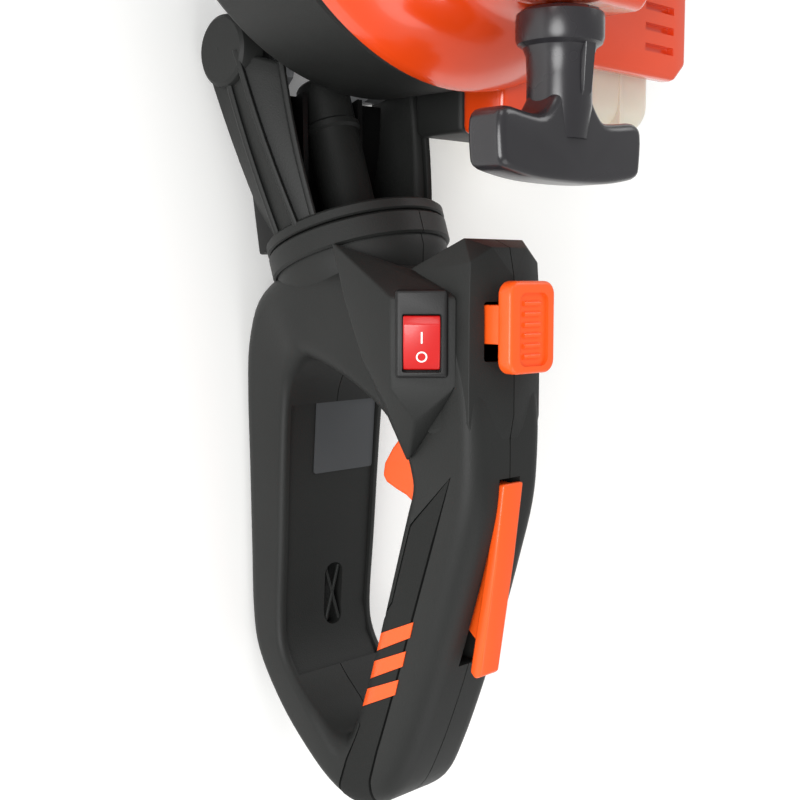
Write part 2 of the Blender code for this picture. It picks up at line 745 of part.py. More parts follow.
def blade_outline(shift):
    """A double-sided blade with long tapered teeth and a ring round its eccentric."""
    count = int((BLADE_TIP_X - 30 - BLADE_FIRST_TOOTH_X) / TOOTH_PITCH)
    top = []
    for i in range(count):
        x = BLADE_FIRST_TOOTH_X + shift + i * TOOTH_PITCH
        top += [(x, 13), (x + 5, 31), (x + 15, 31), (x + 23, 13)]
    tip = BLADE_TIP_X - 22 + shift
    bottom = [(x, -y) for x, y in top]
    ring = arc((CAM_X + shift, 0), YOKE_RADIUS, 18, 342, 20)
    return (ring + bottom + [(tip, -9), (tip + 6, -4), (tip + 6, 4), (tip, 9)]
            + list(reversed(top)))


def cutter_bar():
    for name, shift, z in (("upper_blade", ECCENTRIC_THROW, UPPER_BLADE_Z),
                           ("lower_blade", -ECCENTRIC_THROW, LOWER_BLADE_Z)):
        slots = []
        for x in BAR_BOLTS:
            ends = sorted((x, x + 2 * shift))
            slots.append(rounded_box_outline((ends[0] - 4.6, -4.3), (ends[1] + 4.6, 4.3), 4.2, 2))
        eye = arc((CAM_X + shift, 0), YOKE_RADIUS - 5.5, 0, 345, 23)
        prism(name, blade_outline(shift), z, z + BLADE_THICK, colour="steel",
              holes=[eye] + slots)
    bar = prism("blade_support_bar", [(236, 13), (BLADE_TIP_X - 12, 13), (BLADE_TIP_X - 4, 6),
                                      (BLADE_TIP_X - 4, -6), (BLADE_TIP_X - 12, -13),
                                      (236, -13)], BAR_Z, BAR_Z + 5, colour="steel")
    cut(bar, prism("bar_groove", rounded_box_outline((330, -5), (BLADE_TIP_X - 50, 5), 4),
                   BAR_Z + 3, BAR_Z + 9, group=CUTTERS))
    for number, x in enumerate(BAR_BOLTS, 1):
        cut(bar, cylinder("bar_hole", 3.8, (x, 0, BAR_Z - 3), (x, 0, BAR_Z + 9),
                          group=CUTTERS, segments=20))
        turned("blade_bolt_%d" % number,
               [(0, BAR_Z + 4.5), (3.5, BAR_Z + 4.5), (3.5, LOWER_BLADE_Z - GAP),
                (7.0, LOWER_BLADE_Z - GAP), (7.0, LOWER_BLADE_Z - 3.2),
                (0, LOWER_BLADE_Z - 3.2)], (x, 0, 0), colour="steel", steps=18)
    guard = prism("tip_guard", [(BLADE_TIP_X - 2, 20), (BLADE_TIP_X + 6, 18),
                                (BLADE_TIP_X + 14, 8), (BLADE_TIP_X + 14, -8),
                                (BLADE_TIP_X + 6, -18), (BLADE_TIP_X - 2, -20)],
                  -33, -15, colour="black")
    tongue = box("tip_tongue", (BLADE_TIP_X - 30, -11, BAR_Z + 5 + GAP),
                 (BLADE_TIP_X, 11, -15), group=CUTTERS)
    join(guard, tongue)


BAR_BOLTS = (330.0, 534.0, 738.0)


# ---------------------------------------------------------------- engine

def engine_block():
    crankcase = turned("crankcase", [(36, 52), (36, 14), (8.5, 14), (8.5, 18), (29, 18),
                                     (29, 48), (8.5, 48), (8.5, 52)],
                       (CRANK_X, 0, 0), colour="aluminium", steps=24)
    port = cylinder("crankcase_port", 18.6, (CRANK_X, -20, CYLINDER_Z),
                    (CRANK_X, -60, CYLINDER_Z), group=CUTTERS, segments=20)
    cut(crankcase, port)
    turned("crankshaft", [(0, 86), (5, 86), (5, 46.5), (25, 46.5), (25, 39), (7, 39),
                          (7, 27), (25, 27), (25, 19.5), (5, 19.5), (5, -6.2), (0, -6.2)],
           (CRANK_X, 0, 0), colour="steel", steps=20)
    profile = [(0, 90), (10, 90), (10, 84)]
    reach = 84.0
    while reach > 50:
        profile += [(25, reach), (25, reach - 3), (22, reach - 3), (22, reach - 12)]
        reach -= 12.0
    profile += [(25, 48), (25, 45), (22, 45), (22, 36.4), (18.0, 36.4), (18.0, 78), (0, 78)]
    barrel = turned("cylinder", profile, (CRANK_X, 0, CYLINDER_Z), (0, -1, 0), "aluminium",
                    steps=18)
    cut(barrel, cylinder("plug_thread", 5.4, (CRANK_X, -76, CYLINDER_Z),
                         (CRANK_X, -96, CYLINDER_Z), group=CUTTERS, segments=18))
    turned("piston", [(0, 62), (17.5, 62), (17.5, 46), (15, 46), (15, 58), (0, 58)],
           (CRANK_X, 0, CYLINDER_Z), (0, -1, 0), "aluminium", steps=20)
    turned("connecting_rod", [(0, 57.5), (4, 57.5), (4, 34.5), (0, 34.5)],
           (CRANK_X, 0, CYLINDER_Z), (0, -1, 0), "steel", steps=12)
    turned("spark_plug", [(0, 112), (2, 112), (2, 108), (4.5, 107), (5, 97), (8, 97), (8, 90.4),
                          (5, 90.4), (5, 79), (0, 79)],
           (CRANK_X, 0, CYLINDER_Z), (0, -1, 0), "ceramic", steps=12)
    turned("plug_cap", [(0, 118), (7, 118), (8.5, 115), (8.5, 100), (6, 100), (6, 112.5),
                        (0, 112.5)], (CRANK_X, 0, CYLINDER_Z), (0, -1, 0), "rubber", steps=14)


def flywheel():
    wheel = turned("flywheel", [(46, 64.5), (46, 58.7), (5.3, 58.7), (5.3, 75), (11, 75),
                                (11, 64.5)],
                   (CRANK_X, 0, 0), colour="aluminium", steps=24)
    for i in range(FAN_BLADES):
        angle = 2 * math.pi * i / FAN_BLADES
        fin = box("fan_blade", (-13, -1.2, 63), (13, 1.2, 73), group=CUTTERS)
        centre = Vector((CRANK_X + 30 * math.cos(angle), 30 * math.sin(angle), 68))
        fin.matrix_world = (Matrix.Translation(place(*centre))
                            @ Matrix.Rotation(angle + 0.35, 4, "Z"))
        join(wheel, fin)
    cup = turned("starter_cup", [(20, 86), (20, 77), (10, 73), (5.3, 73), (5.3, 79),
                                 (17.5, 79), (17.5, 86)], (CRANK_X, 0, 0), group=CUTTERS,
                 steps=18)
    join(wheel, cup)
    box("ignition_coil", (CRANK_X - 12, 48, 52), (CRANK_X + 12, 62, 72), "black", bevel=2)


def housings():
    """The dark lower housing and the orange shroud over it, opened on the engine's side."""
    radius = HOUSING_RADIUS
    wall = HOUSING_WALL
    split = HOUSING_SPLIT_Z
    lower = turned("lower_housing",
                   [(radius, split), (radius, 3), (radius - 3, 0), (36.5, 0),
                    (36.5, 3), (radius - wall, 3), (radius - wall, split)],
                   (CRANK_X, 0, 0), colour="charcoal", steps=32)
    engine_side = box("engine_side", (109, -130, -20), (262, -37, 61), group=CUTTERS)
    intake_opening = box("intake_side", (30, -130, -20), (109.5, -25.5, 61), group=CUTTERS)
    cut(lower, engine_side, intake_opening)
    top = SHROUD_TOP_Z
    outer = [(radius + 2, split + GAP), (radius + 2, split + 4), (88, 70), (DRUM_RADIUS, 76),
             (DRUM_RADIUS - 1, 105), (DRUM_RADIUS - 8, top), (0, top)]
    inner = [(0, top - 3), (DRUM_RADIUS - 9.5, top - 3), (DRUM_RADIUS - 4, 103.5),
             (DRUM_RADIUS - 3, 78), (85.5, 67.5), (radius - 1, split + 4),
             (radius - 1, split + GAP)]
    shroud = turned("engine_shroud", list(reversed(outer)) + list(reversed(inner)),
                    (CRANK_X, 0, 0), colour="orange", steps=36)
    post = turned("starter_post", [(0, 111), (9, 111), (9, 107), (3.6, 107), (3.6, 90),
                                   (0, 90)], (CRANK_X, 0, 0), group=CUTTERS, steps=16)
    hole = cylinder("rope_hole", 3.0, (60, 0, STARTER_Z), (100, 0, STARTER_Z), group=CUTTERS,
                    segments=16)
    join(shroud, post)
    cut(shroud, hole)


def starter():
    x = CRANK_X
    turned("starter_pulley", [(41, 101), (41, 98.8), (35.0, 98.8), (35.0, 91.2),
                              (41, 91.2), (41, 89), (4, 89), (4, 101)],
           (x, 0, 0), colour="black", steps=24)
    coil = []
    for i in range(37):
        angle = 2 * math.pi * i / 16
        radius = 12 + 7.0 * i / 16
        coil.append((x + radius * math.cos(angle), radius * math.sin(angle), 103.6))
    tube("recoil_spring", coil, 0.9, "steel", smooth_route=False, resolution=0)
    leave = math.acos(PULLEY_RADIUS / (x - ROPE_OUTLET_X))
    tangent = (x - PULLEY_RADIUS * math.cos(leave), PULLEY_RADIUS * math.sin(leave), STARTER_Z)
    tube("starter_rope", [tangent, (ROPE_OUTLET_X, 0, STARTER_Z), (72.3, 0, STARTER_Z)],
         1.7, "rope", smooth_route=False)


def starter_grip():
    """The T grip: a round cap, a tapering stem and a cross bar lying level."""
    centre = (0, 0, STARTER_Z)
    stem = turned("starter_grip", [(0, 71.5), (13, 71.5), (14, 70.5), (14, 60), (13, 59),
                                   (10.5, 57.5), (10.5, 42), (8, 30), (0, 30)],
                  centre, (1, 0, 0), "charcoal", steps=20)
    bar = prism("grip_bar", [(36, 19.5), (18, 16), (-18, 16), (-36, 19.5), (-36.5, 34),
                             (-33, 37), (-16, 36), (-9, 42), (9, 42), (16, 36), (33, 37),
                             (36.5, 34)], -7.2, 7.2, group=CUTTERS)
    turn = Matrix(((0, 1, 0, 0), (1, 0, 0, 0), (0, 0, -1, 0), (0, 0, 0, 1)))
    bar.matrix_world = Matrix.Translation(place(*centre)) @ turn
    join(stem, bar)


def intake_side():
    """Air filter box, carburettor and primer behind the cylinder, on the engine's right."""
    carb = box("carburettor", (95, -58, 20), (118, -34, 45), "aluminium", bevel=2)
    flange = box("intake_stub", (115, -54, 26), (128, -42, 40), group=CUTTERS)
    join(carb, flange)
    cut(carb, cylinder("stub_clear", 25.5, (CRANK_X, -30, CYLINDER_Z),
                       (CRANK_X, -70, CYLINDER_Z), group=CUTTERS, segments=32))
    base = box("air_filter_base", (40, -75, 3), (94.5, -28, 27.7), "charcoal", bevel=2)
    cut(base, box("base_hollow", (43, -72, 6), (91.5, -31, 60), group=CUTTERS))
    cover = box("air_filter_cover", (39, -76, 28), (94.5, -27, 48.8), "orange", bevel=3)
    cut(cover, box("cover_hollow", (42, -73, 20), (91.5, -30, 45.5), group=CUTTERS))
    box("filter_element", (46, -70, 10), (89, -33, 42), "foam", bevel=2)
    turned("primer_bulb", [(0, 9), (4, 8), (7, 5), (8, 1), (8, 0), (0, 0)],
           (106, -58.3, 28.5), (0, -1, 0), "tank", steps=16)
    lever = prism("choke_lever", arc((100, 41), 3.5, 40, 320, 8) + [(112, 37.5), (114, 41),
                                                                    (112, 44.5)],
                  -64, -61, "XZ", "black")
    pin = cylinder("choke_pin", 1.8, (100, -62, 41), (100, -58.4, 41), group=CUTTERS,
                   segments=12)
    join(lever, pin)


def exhaust_side():
    muffler = box("muffler", (184, -92, 8), (232, -42, 48.5), "steel", bevel=5)
    pipe = box("exhaust_stub", (177.5, -74, 26), (185, -56, 40), group=CUTTERS)
    join(muffler, pipe)
    guard = box("muffler_guard", (180, -101, 4), (242, -95, 48.5), "black", bevel=2)
    wrap = box("guard_front", (236, -101, 4), (242, -44, 48.5), group=CUTTERS)
    join(guard, wrap)
    for i in range(5):
        slot = box("guard_slot", (190, -104, 10 + i * 7.5), (228, -92, 13.5 + i * 7.5),
                   group=CUTTERS)
        cut(guard, slot)


def fuel_tank():
    tank = box("fuel_tank", (46, -132, -24), (112, -80, 44), "tank", bevel=9)
    neck = cylinder("tank_neck", 14, (76, -128, 12), (76, -137, 12), group=CUTTERS,
                    segments=24)
    join(tank, neck)
    cut(tank, box("tank_hollow", (49, -129, -21), (109, -83, 41), group=CUTTERS, bevel=7))
    cut(tank, cylinder("tank_mouth", 11.5, (76, -122, 12), (76, -144, 12), group=CUTTERS,
                       segments=20))
    cap = turned("fuel_cap", [(0, 145), (15, 145), (17, 143), (17, 137.3), (0, 137.3)],
                 (76, 0, 12), (0, -1, 0), "black", steps=24)
    plug = turned("cap_plug", [(0, 138), (11.2, 138), (11.2, 130), (0, 130)], (76, 0, 12),
                  (0, -1, 0), group=CUTTERS, steps=20)
    join(cap, plug)


# ---------------------------------------------------------------- front handle and guard

HANDLE_X = 262.0
HANDLE_HALF = 128.0


def front_handle():
    half = []
    for y, z, x in ((41, -6, 247), (80, -4, 252), (112, 8, 258), (HANDLE_HALF, 40, 262),
                    (HANDLE_HALF, 84, 264), (120, 116, 262), (96, 138, 260), (50, 148, 258)):
        half.append((x, y, z))
    route = half + [(258, 0, 150)] + [(x, -y, z) for x, y, z in reversed(half)]
    bail = tube("front_handle", route, 11.5, "charcoal", resolution=2)
    for side in (1, -1):
        foot = box("handle_foot", (204, min(side * 27, side * 50), -10.7),
                   (256, max(side * 27, side * 50), -0.4), group=CUTTERS)
        join(bail, foot)


def hand_guard():
    outline = [(-110, -2), (-126, 30), (-120, 90), (-92, 120), (92, 120), (120, 90),
               (126, 30), (110, -2), (60, -9), (-60, -9)]
    guard = prism("hand_guard", outline, 0, 4, colour="black")
    turn = Matrix(((0, 0, 1, 0), (1, 0, 0, 0), (0, 1, 0, 0), (0, 0, 0, 1)))
    guard.matrix_world = Matrix.Translation(place(284, 0, 0)) @ turn
    foot = box("guard_foot", (238, -22, -7.7), (286, 22, -3), group=CUTTERS)
    join(guard, foot)


def throttle_cable():
    end = collar_point(64, 0, 0)
    start = collar_point(-9, 0, 0)
    middle = collar_point(30, 0, 0)
    tube("throttle_cable", [start, middle, end], 2.2, "black", smooth_route=False)


# ---------------------------------------------------------------- joints

def move_origin(name, x, y, z):
    """Put an object's origin on its joint without moving its surface."""
    obj = bpy.data.objects[name]
    bpy.context.view_layer.update()
    here = obj.matrix_world.inverted() @ place(x, y, z)
    obj.data.transform(Matrix.Translation(-here))
    obj.matrix_world = obj.matrix_world @ Matrix.Translation(here)


def joint_origins():
    for name in ("handle_shell_left", "handle_shell_right", "grip_pad_left", "grip_pad_right",
                 "stop_switch_housing", "trigger_pin", "trigger_spring", "lockout_pin",
                 "lock_spring", "throttle_cable"):
        move_origin(name, 0, 0, 0)
    move_origin("throttle_trigger", -79, 0, 49)
    move_origin("throttle_lockout", -89, 0, 69.5)
    move_origin("cam_gear", CAM_X, 0, 0)
    move_origin("choke_lever", 100, -62, 41)


rear_handle()
stop_switch()
controls()
swivel_bracket()
fork_mounts()
gear_case()
cam_drive()
cutter_bar()
engine_block()
flywheel()
housings()
starter()
starter_grip()
intake_side()
exhaust_side()
fuel_tank()
front_handle()
hand_guard()
throttle_cable()
joint_origins()
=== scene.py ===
# %% [markdown]
# # Petrol hedge trimmer
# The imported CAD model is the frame: every body and node is already in its real place, in
# metres.  This lesson gives the machine its finish, and models again, in finer detail, the
# pieces that the CAD only blocks out.  Sizes are written in millimetres from the centre of
# the collar that the rear handle turns on, because that is how the machine was measured.

# %% Load the frame
import math

import bmesh
import bpy
from mathutils import Matrix, Vector


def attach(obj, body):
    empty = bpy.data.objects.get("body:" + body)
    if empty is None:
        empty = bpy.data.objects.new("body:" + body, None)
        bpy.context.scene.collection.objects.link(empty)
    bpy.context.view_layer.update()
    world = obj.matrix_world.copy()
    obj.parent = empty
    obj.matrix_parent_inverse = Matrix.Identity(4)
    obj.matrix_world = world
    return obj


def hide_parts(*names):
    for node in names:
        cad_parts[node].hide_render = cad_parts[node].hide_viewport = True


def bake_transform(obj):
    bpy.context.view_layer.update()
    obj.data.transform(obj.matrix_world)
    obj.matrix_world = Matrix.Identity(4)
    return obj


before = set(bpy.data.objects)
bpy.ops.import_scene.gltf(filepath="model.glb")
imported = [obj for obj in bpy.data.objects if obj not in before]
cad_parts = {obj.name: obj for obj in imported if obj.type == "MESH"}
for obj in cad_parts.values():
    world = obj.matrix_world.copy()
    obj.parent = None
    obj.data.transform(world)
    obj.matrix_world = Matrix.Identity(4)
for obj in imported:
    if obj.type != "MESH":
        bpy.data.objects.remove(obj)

MM = 0.001
COLLAR = Vector((-0.160, 0.0, 0.038))
COLLAR_TILT = math.radians(18.6)
COLLAR_AXIS = Vector((math.cos(COLLAR_TILT), 0.0, -math.sin(COLLAR_TILT)))
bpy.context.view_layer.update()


def at(x, y, z):
    """Millimetres from the collar's centre, as a point of the frame."""
    return COLLAR + Vector((x, y, z)) * MM


# %% [markdown]
# ## Camera, floor and light
# The machine is seen from above and behind its left side, so the rear handle hangs down the
# view.  A 56 mm lens stands about half a metre off the collar.  A big pale floor and four
# soft area lights make a studio: one large lamp high on the left gives the long highlights on
# the plastic, and weaker ones fill the other sides.

# %% Camera
camera_place = COLLAR + Vector((-13.49, 322.76, 345.71)) * MM
right = Vector((0.0, -0.70711, 0.70711))
back = Vector((0.0993, 0.7036, 0.7036)).normalized()
up = back.cross(right).normalized()
right = up.cross(back).normalized()
bpy.ops.object.camera_add(location=camera_place)
camera = bpy.context.object
camera.name = "studio_camera"
camera.matrix_world = (Matrix.Translation(camera_place)
                       @ Matrix((right, up, back)).transposed().to_4x4())
camera.data.lens = 55.935
camera.data.sensor_width = 36.0
camera.data.clip_start = 0.01
bpy.context.scene.camera = camera
print("camera", [round(v, 4) for v in camera_place])


# %% Floor and lights
def colour(hex_value):
    """An sRGB hex colour as the linear values that the shaders want."""
    parts = []
    for i in (0, 2, 4):
        value = int(hex_value[i:i + 2], 16) / 255
        parts.append(value / 12.92 if value <= 0.04045 else ((value + 0.055) / 1.055) ** 2.4)
    return (*parts, 1.0)


def add_node(tree, kind, sockets=None, links=None, **settings):
    """Add a node to a material, set it up and link its inputs."""
    node = tree.nodes.new(kind)
    for key, value in settings.items():
        setattr(node, key, value)
    for key, value in (sockets or {}).items():
        node.inputs[key].default_value = value
    for key, source in (links or {}).items():
        tree.links.new(source, node.inputs[key])
    return node


bpy.ops.mesh.primitive_plane_add(size=14, location=(0, 0, 0))
floor = bpy.context.object
floor.name = "studio_floor"
floor_paint = bpy.data.materials.new("matt studio paint")
floor_paint.use_nodes = True
floor_shader = floor_paint.node_tree.nodes["Principled BSDF"]
floor_shader.inputs["Base Color"].default_value = colour("F4F4F2")
floor_shader.inputs["Roughness"].default_value = 0.95
floor_shader.inputs["Emission Color"].default_value = colour("FFFFFF")
floor_shader.inputs["Emission Strength"].default_value = 0.16
floor.data.materials.append(floor_paint)


def soft_light(name, place, aim, size, watts):
    bpy.ops.object.light_add(type="AREA", location=place)
    lamp = bpy.context.object
    lamp.name = name
    lamp.data.shape = "DISK"
    lamp.data.size = size
    lamp.data.energy = watts
    direction = Vector(aim) - Vector(place)
    lamp.rotation_euler = direction.to_track_quat("-Z", "Y").to_euler()


soft_light("key_light", (-0.4, 1.75, 1.15), (-0.1, 0, 0.05), 1.2, 34)
soft_light("fill_light", (-1.6, -0.2, 1.3), (-0.1, 0, 0.05), 1.4, 9)
soft_light("rim_light", (1.2, -1.5, 1.3), (0.1, 0, 0.05), 1.2, 11)
soft_light("front_light", (1.6, 0.9, 1.2), (0.1, 0, 0.05), 1.2, 10)
world = bpy.data.worlds.new("studio_air")
bpy.context.scene.world = world
world.use_nodes = True
world.node_tree.nodes["Background"].inputs["Color"].default_value = colour("F7F7F7")
world.node_tree.nodes["Background"].inputs["Strength"].default_value = 0.55
bpy.context.scene.view_settings.view_transform = "Standard"
print("studio ready")


# %% [markdown]
# ## Finishes
# Each finish starts from the real material.  Two patterns do most of the work: a fine grain in
# the height, which is the texture that spark erosion leaves in a mould, and a broad, weak
# mottle in colour and roughness, which is how handling and dust show on a plastic.  A pattern's
# scale is one over its real size in metres, since Object coordinates here are metres.

# %% Plastics and rubber
def moulded(name, hex_colour, roughness, grain_mm, grain_depth, mottle=0.10, coat=0.0,
            specular=0.5):
    """A moulded plastic or rubber with a grained skin and a faint, broad unevenness."""
    made = bpy.data.materials.new(name)
    made.use_nodes = True
    tree = made.node_tree
    shader = tree.nodes["Principled BSDF"]
    shader.inputs["Coat Weight"].default_value = coat
    shader.inputs["Coat Roughness"].default_value = 0.08
    shader.inputs["Specular IOR Level"].default_value = specular
    shader.inputs["IOR"].default_value = 1.52
    place = add_node(tree, "ShaderNodeTexCoord")
    broad = add_node(tree, "ShaderNodeTexNoise", {"Scale": 28.0, "Detail": 4.0},
                     {"Vector": place.outputs["Object"]})
    grain = add_node(tree, "ShaderNodeTexNoise", {"Scale": 1000.0 / grain_mm, "Detail": 2.0},
                     {"Vector": place.outputs["Object"]})
    base = Vector(colour(hex_colour)[:3])
    shade = add_node(tree, "ShaderNodeValToRGB", links={"Fac": broad.outputs["Fac"]})
    shade.color_ramp.elements[0].position = 0.32
    shade.color_ramp.elements[1].position = 0.68
    shade.color_ramp.elements[0].color = (*(base * (1 - mottle)), 1)
    shade.color_ramp.elements[1].color = (*(base * (1 + mottle)), 1)
    tree.links.new(shade.outputs["Color"], shader.inputs["Base Color"])
    worn = add_node(tree, "ShaderNodeMapRange",
                    {"To Min": roughness - 0.05, "To Max": roughness + 0.06},
                    {"Value": broad.outputs["Fac"]})
    tree.links.new(worn.outputs["Result"], shader.inputs["Roughness"])
    relief = add_node(tree, "ShaderNodeBump",
                      {"Strength": grain_depth, "Distance": 0.0002},
                      {"Height": grain.outputs["Fac"]})
    tree.links.new(relief.outputs["Normal"], shader.inputs["Normal"])
    return made


# Glass-filled nylon: the grain of the mould is about 0.5 mm and scatters the light softly.
nylon = moulded("charcoal_glass_filled_nylon", "202120", 0.52, 0.55, 0.35, specular=0.26)
# The same nylon where the mould was polished finer, on the switch bezel and the covers.
black_nylon = moulded("black_moulded_nylon", "151515", 0.42, 0.45, 0.22, specular=0.28)
# The starter grip was moulded in a polished tool, so it shines where the housing is matt.
polished_nylon = moulded("polished_charcoal_nylon", "262528", 0.26, 0.9, 0.06, specular=0.5)
# Thermoplastic elastomer moulded over the grip: darker and duller than the nylon.
soft_grip = moulded("soft_tpe_grip", "1B1C1B", 0.68, 0.40, 0.45, specular=0.22)
# Glossy ABS, as on the engine cover: a smooth skin with a clear reflection.
gloss_abs = moulded("glossy_orange_abs", "E64612", 0.22, 3.0, 0.04, 0.04, coat=0.5)
# Controls are moulded in a slightly satin ABS so a glove doesn't slip.
satin_abs = moulded("satin_orange_abs", "F85A17", 0.38, 0.6, 0.10, 0.04, coat=0.08,
                   specular=0.4)
# Polycarbonate rocker, dyed right through.
red_pc = moulded("red_polycarbonate", "C51210", 0.30, 2.0, 0.03, 0.03, coat=0.1)
white_print = moulded("white_pad_print", "F2F2EE", 0.45, 0.8, 0.05, 0.02)
# Natural polyethylene of a blow-moulded tank: waxy and lets some light in.
tank_pe = moulded("natural_blow_moulded_polyethylene", "E4DCCB", 0.38, 2.5, 0.12, 0.04)
tank_pe.node_tree.nodes["Principled BSDF"].inputs["Subsurface Weight"].default_value = 0.35
tank_pe.node_tree.nodes["Principled BSDF"].inputs["Subsurface Radius"].default_value = (
    0.004, 0.003, 0.002)
nitrile = moulded("black_nitrile_rubber", "191919", 0.78, 0.5, 0.5, specular=0.3)
foam = moulded("open_cell_filter_foam", "3A3A3A", 0.95, 1.1, 1.0, 0.25, specular=0.1)
label_film = moulded("satin_label_film", "434547", 0.34, 1.5, 0.05, 0.05, specular=0.35)
plug_glaze = moulded("glazed_alumina", "EDEBE4", 0.14, 4.0, 0.03, 0.02, coat=0.6)
print("plastics made")


# %% [markdown]
# Metals keep the default IOR and get their look from how they were worked.  Die-cast aluminium
# has a dull, faintly pitted skin.  Ground blades carry fine lines across their length, so the
# noise that makes them is stretched until it is a set of lines.

# %% Metals
def worked_metal(name, hex_colour, roughness, stretch, mark_mm, depth):
    """A metal marked by its working; stretch squeezes the marks into lines along one axis."""
    made = bpy.data.materials.new(name)
    made.use_nodes = True
    tree = made.node_tree
    shader = tree.nodes["Principled BSDF"]
    shader.inputs["Metallic"].default_value = 1.0
    place = add_node(tree, "ShaderNodeTexCoord")
    squeeze = add_node(tree, "ShaderNodeMapping", {"Scale": stretch},
                       {"Vector": place.outputs["Object"]})
    marks = add_node(tree, "ShaderNodeTexNoise", {"Scale": 1000.0 / mark_mm, "Detail": 3.0},
                     {"Vector": squeeze.outputs["Vector"]})
    stain = add_node(tree, "ShaderNodeTexNoise", {"Scale": 35.0, "Detail": 5.0},
                     {"Vector": place.outputs["Object"]})
    base = Vector(colour(hex_colour)[:3])
    shade = add_node(tree, "ShaderNodeValToRGB", links={"Fac": stain.outputs["Fac"]})
    shade.color_ramp.elements[0].color = (*(base * 0.82), 1)
    shade.color_ramp.elements[1].color = (*(base * 1.08), 1)
    tree.links.new(shade.outputs["Color"], shader.inputs["Base Color"])
    rough = add_node(tree, "ShaderNodeMapRange",
                     {"To Min": roughness - 0.08, "To Max": roughness + 0.10},
                     {"Value": marks.outputs["Fac"]})
    tree.links.new(rough.outputs["Result"], shader.inputs["Roughness"])
    relief = add_node(tree, "ShaderNodeBump", {"Strength": depth, "Distance": 0.0002},
                      {"Height": marks.outputs["Fac"]})
    tree.links.new(relief.outputs["Normal"], shader.inputs["Normal"])
    return made


cast_aluminium = worked_metal("die_cast_aluminium", "B9BBBD", 0.48, (1, 1, 1), 0.9, 0.40)
turned_steel = worked_metal("turned_carbon_steel", "9C9EA0", 0.34, (1, 1, 6), 1.2, 0.12)
ground_steel = worked_metal("ground_blade_steel", "C6C8CA", 0.24, (6, 0.35, 1), 1.0, 0.15)
zinc_steel = worked_metal("zinc_plated_steel", "C9CBC7", 0.30, (1, 1, 1), 1.5, 0.10)
stamped_steel = worked_metal("stamped_steel_sheet", "8B8B89", 0.46, (1, 1, 1), 2.0, 0.20)
print("metals made")


# %% [markdown]
# The starter rope is braided nylon.  Two crossed wave patterns, one leaning each way, make the
# strands of the braid on the rope's own skin.

# %% Braided rope
braid = bpy.data.materials.new("braided_nylon_rope")
braid.use_nodes = True
braid_tree = braid.node_tree
braid_shader = braid_tree.nodes["Principled BSDF"]
braid_shader.inputs["Roughness"].default_value = 0.85
braid_place = add_node(braid_tree, "ShaderNodeTexCoord")
lean = []
for turn in (35, -35):
    tilted = add_node(braid_tree, "ShaderNodeMapping",
                      {"Rotation": (0, math.radians(turn), math.radians(turn))},
                      {"Vector": braid_place.outputs["Object"]})
    wave = add_node(braid_tree, "ShaderNodeTexWave", {"Scale": 320.0, "Distortion": 0.4},
                    {"Vector": tilted.outputs["Vector"]})
    lean.append(wave)
crossed = add_node(braid_tree, "ShaderNodeMath",
                   links={0: lean[0].outputs["Fac"], 1: lean[1].outputs["Fac"]},
                   operation="MULTIPLY")
strand = add_node(braid_tree, "ShaderNodeValToRGB", links={"Fac": crossed.outputs["Value"]})
strand.color_ramp.elements[0].color = colour("77756F")
strand.color_ramp.elements[1].color = colour("CFCBBF")
braid_tree.links.new(strand.outputs["Color"], braid_shader.inputs["Base Color"])
weave = add_node(braid_tree, "ShaderNodeBump", {"Strength": 0.6, "Distance": 0.0004},
                 {"Height": crossed.outputs["Value"]})
braid_tree.links.new(weave.outputs["Normal"], braid_shader.inputs["Normal"])


# %% Give every CAD node its finish
NODE_FINISHES = {
    nylon: ("handle_shell_left", "handle_shell_right", "swivel_bracket", "lower_housing",
            "starter_grip", "air_filter_base", "front_handle"),
    black_nylon: ("stop_switch_housing", "tip_guard", "ignition_coil", "starter_pulley",
                  "choke_lever", "fuel_cap", "hand_guard", "throttle_cable"),
    soft_grip: ("grip_pad_left", "grip_pad_right"),
    gloss_abs: ("engine_shroud", "air_filter_cover"),
    satin_abs: ("throttle_trigger", "throttle_lockout", "rotation_lock"),
    red_pc: ("stop_switch_rocker",),
    nitrile: ("buffer_left", "buffer_right", "plug_cap"),
    turned_steel: ("trigger_pin", "lockout_pin", "cam_shaft", "cam_gear", "clutch_drum",
                   "clutch_rotor", "crankshaft", "connecting_rod"),
    zinc_steel: ("fork_bolt_left", "fork_bolt_right", "blade_bolt_1", "blade_bolt_2",
                 "blade_bolt_3", "trigger_spring", "lock_spring", "recoil_spring"),
    ground_steel: ("upper_blade", "lower_blade", "blade_support_bar"),
    stamped_steel: ("muffler", "muffler_guard"),
    cast_aluminium: ("gear_case", "gear_case_cover", "clutch_housing", "crankcase",
                     "cylinder", "piston", "flywheel", "carburettor"),
    tank_pe: ("fuel_tank", "primer_bulb"),
    plug_glaze: ("spark_plug",),
    foam: ("filter_element",),
    braid: ("starter_rope",),
}
for finish, names in NODE_FINISHES.items():
    for name in names:
        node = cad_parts[name]
        node.data.materials.clear()
        node.data.materials.append(finish)
print("finishes on", sum(len(names) for names in NODE_FINISHES.values()), "nodes")


# %% [markdown]
# ## Modelling tools
# Every new piece starts from a primitive, is shaped in edit mode, and is finished with
# modifiers that are applied.  These few helpers do the parts that repeat: deselect, take a
# piece to edit mode, cut or fuse with another piece, round its edges, and hand it over with
# its finish and the body that it rides on.

# %% Helpers for every piece
def only(obj):
    """Select one object and nothing else."""
    bpy.ops.object.select_all(action="DESELECT")
    obj.select_set(True)
    bpy.context.view_layer.objects.active = obj


def settle(obj):
    """Put the object's place into its mesh, so its origin is the frame's."""
    only(obj)
    bpy.ops.object.transform_apply(location=True, rotation=True, scale=True)
    return obj


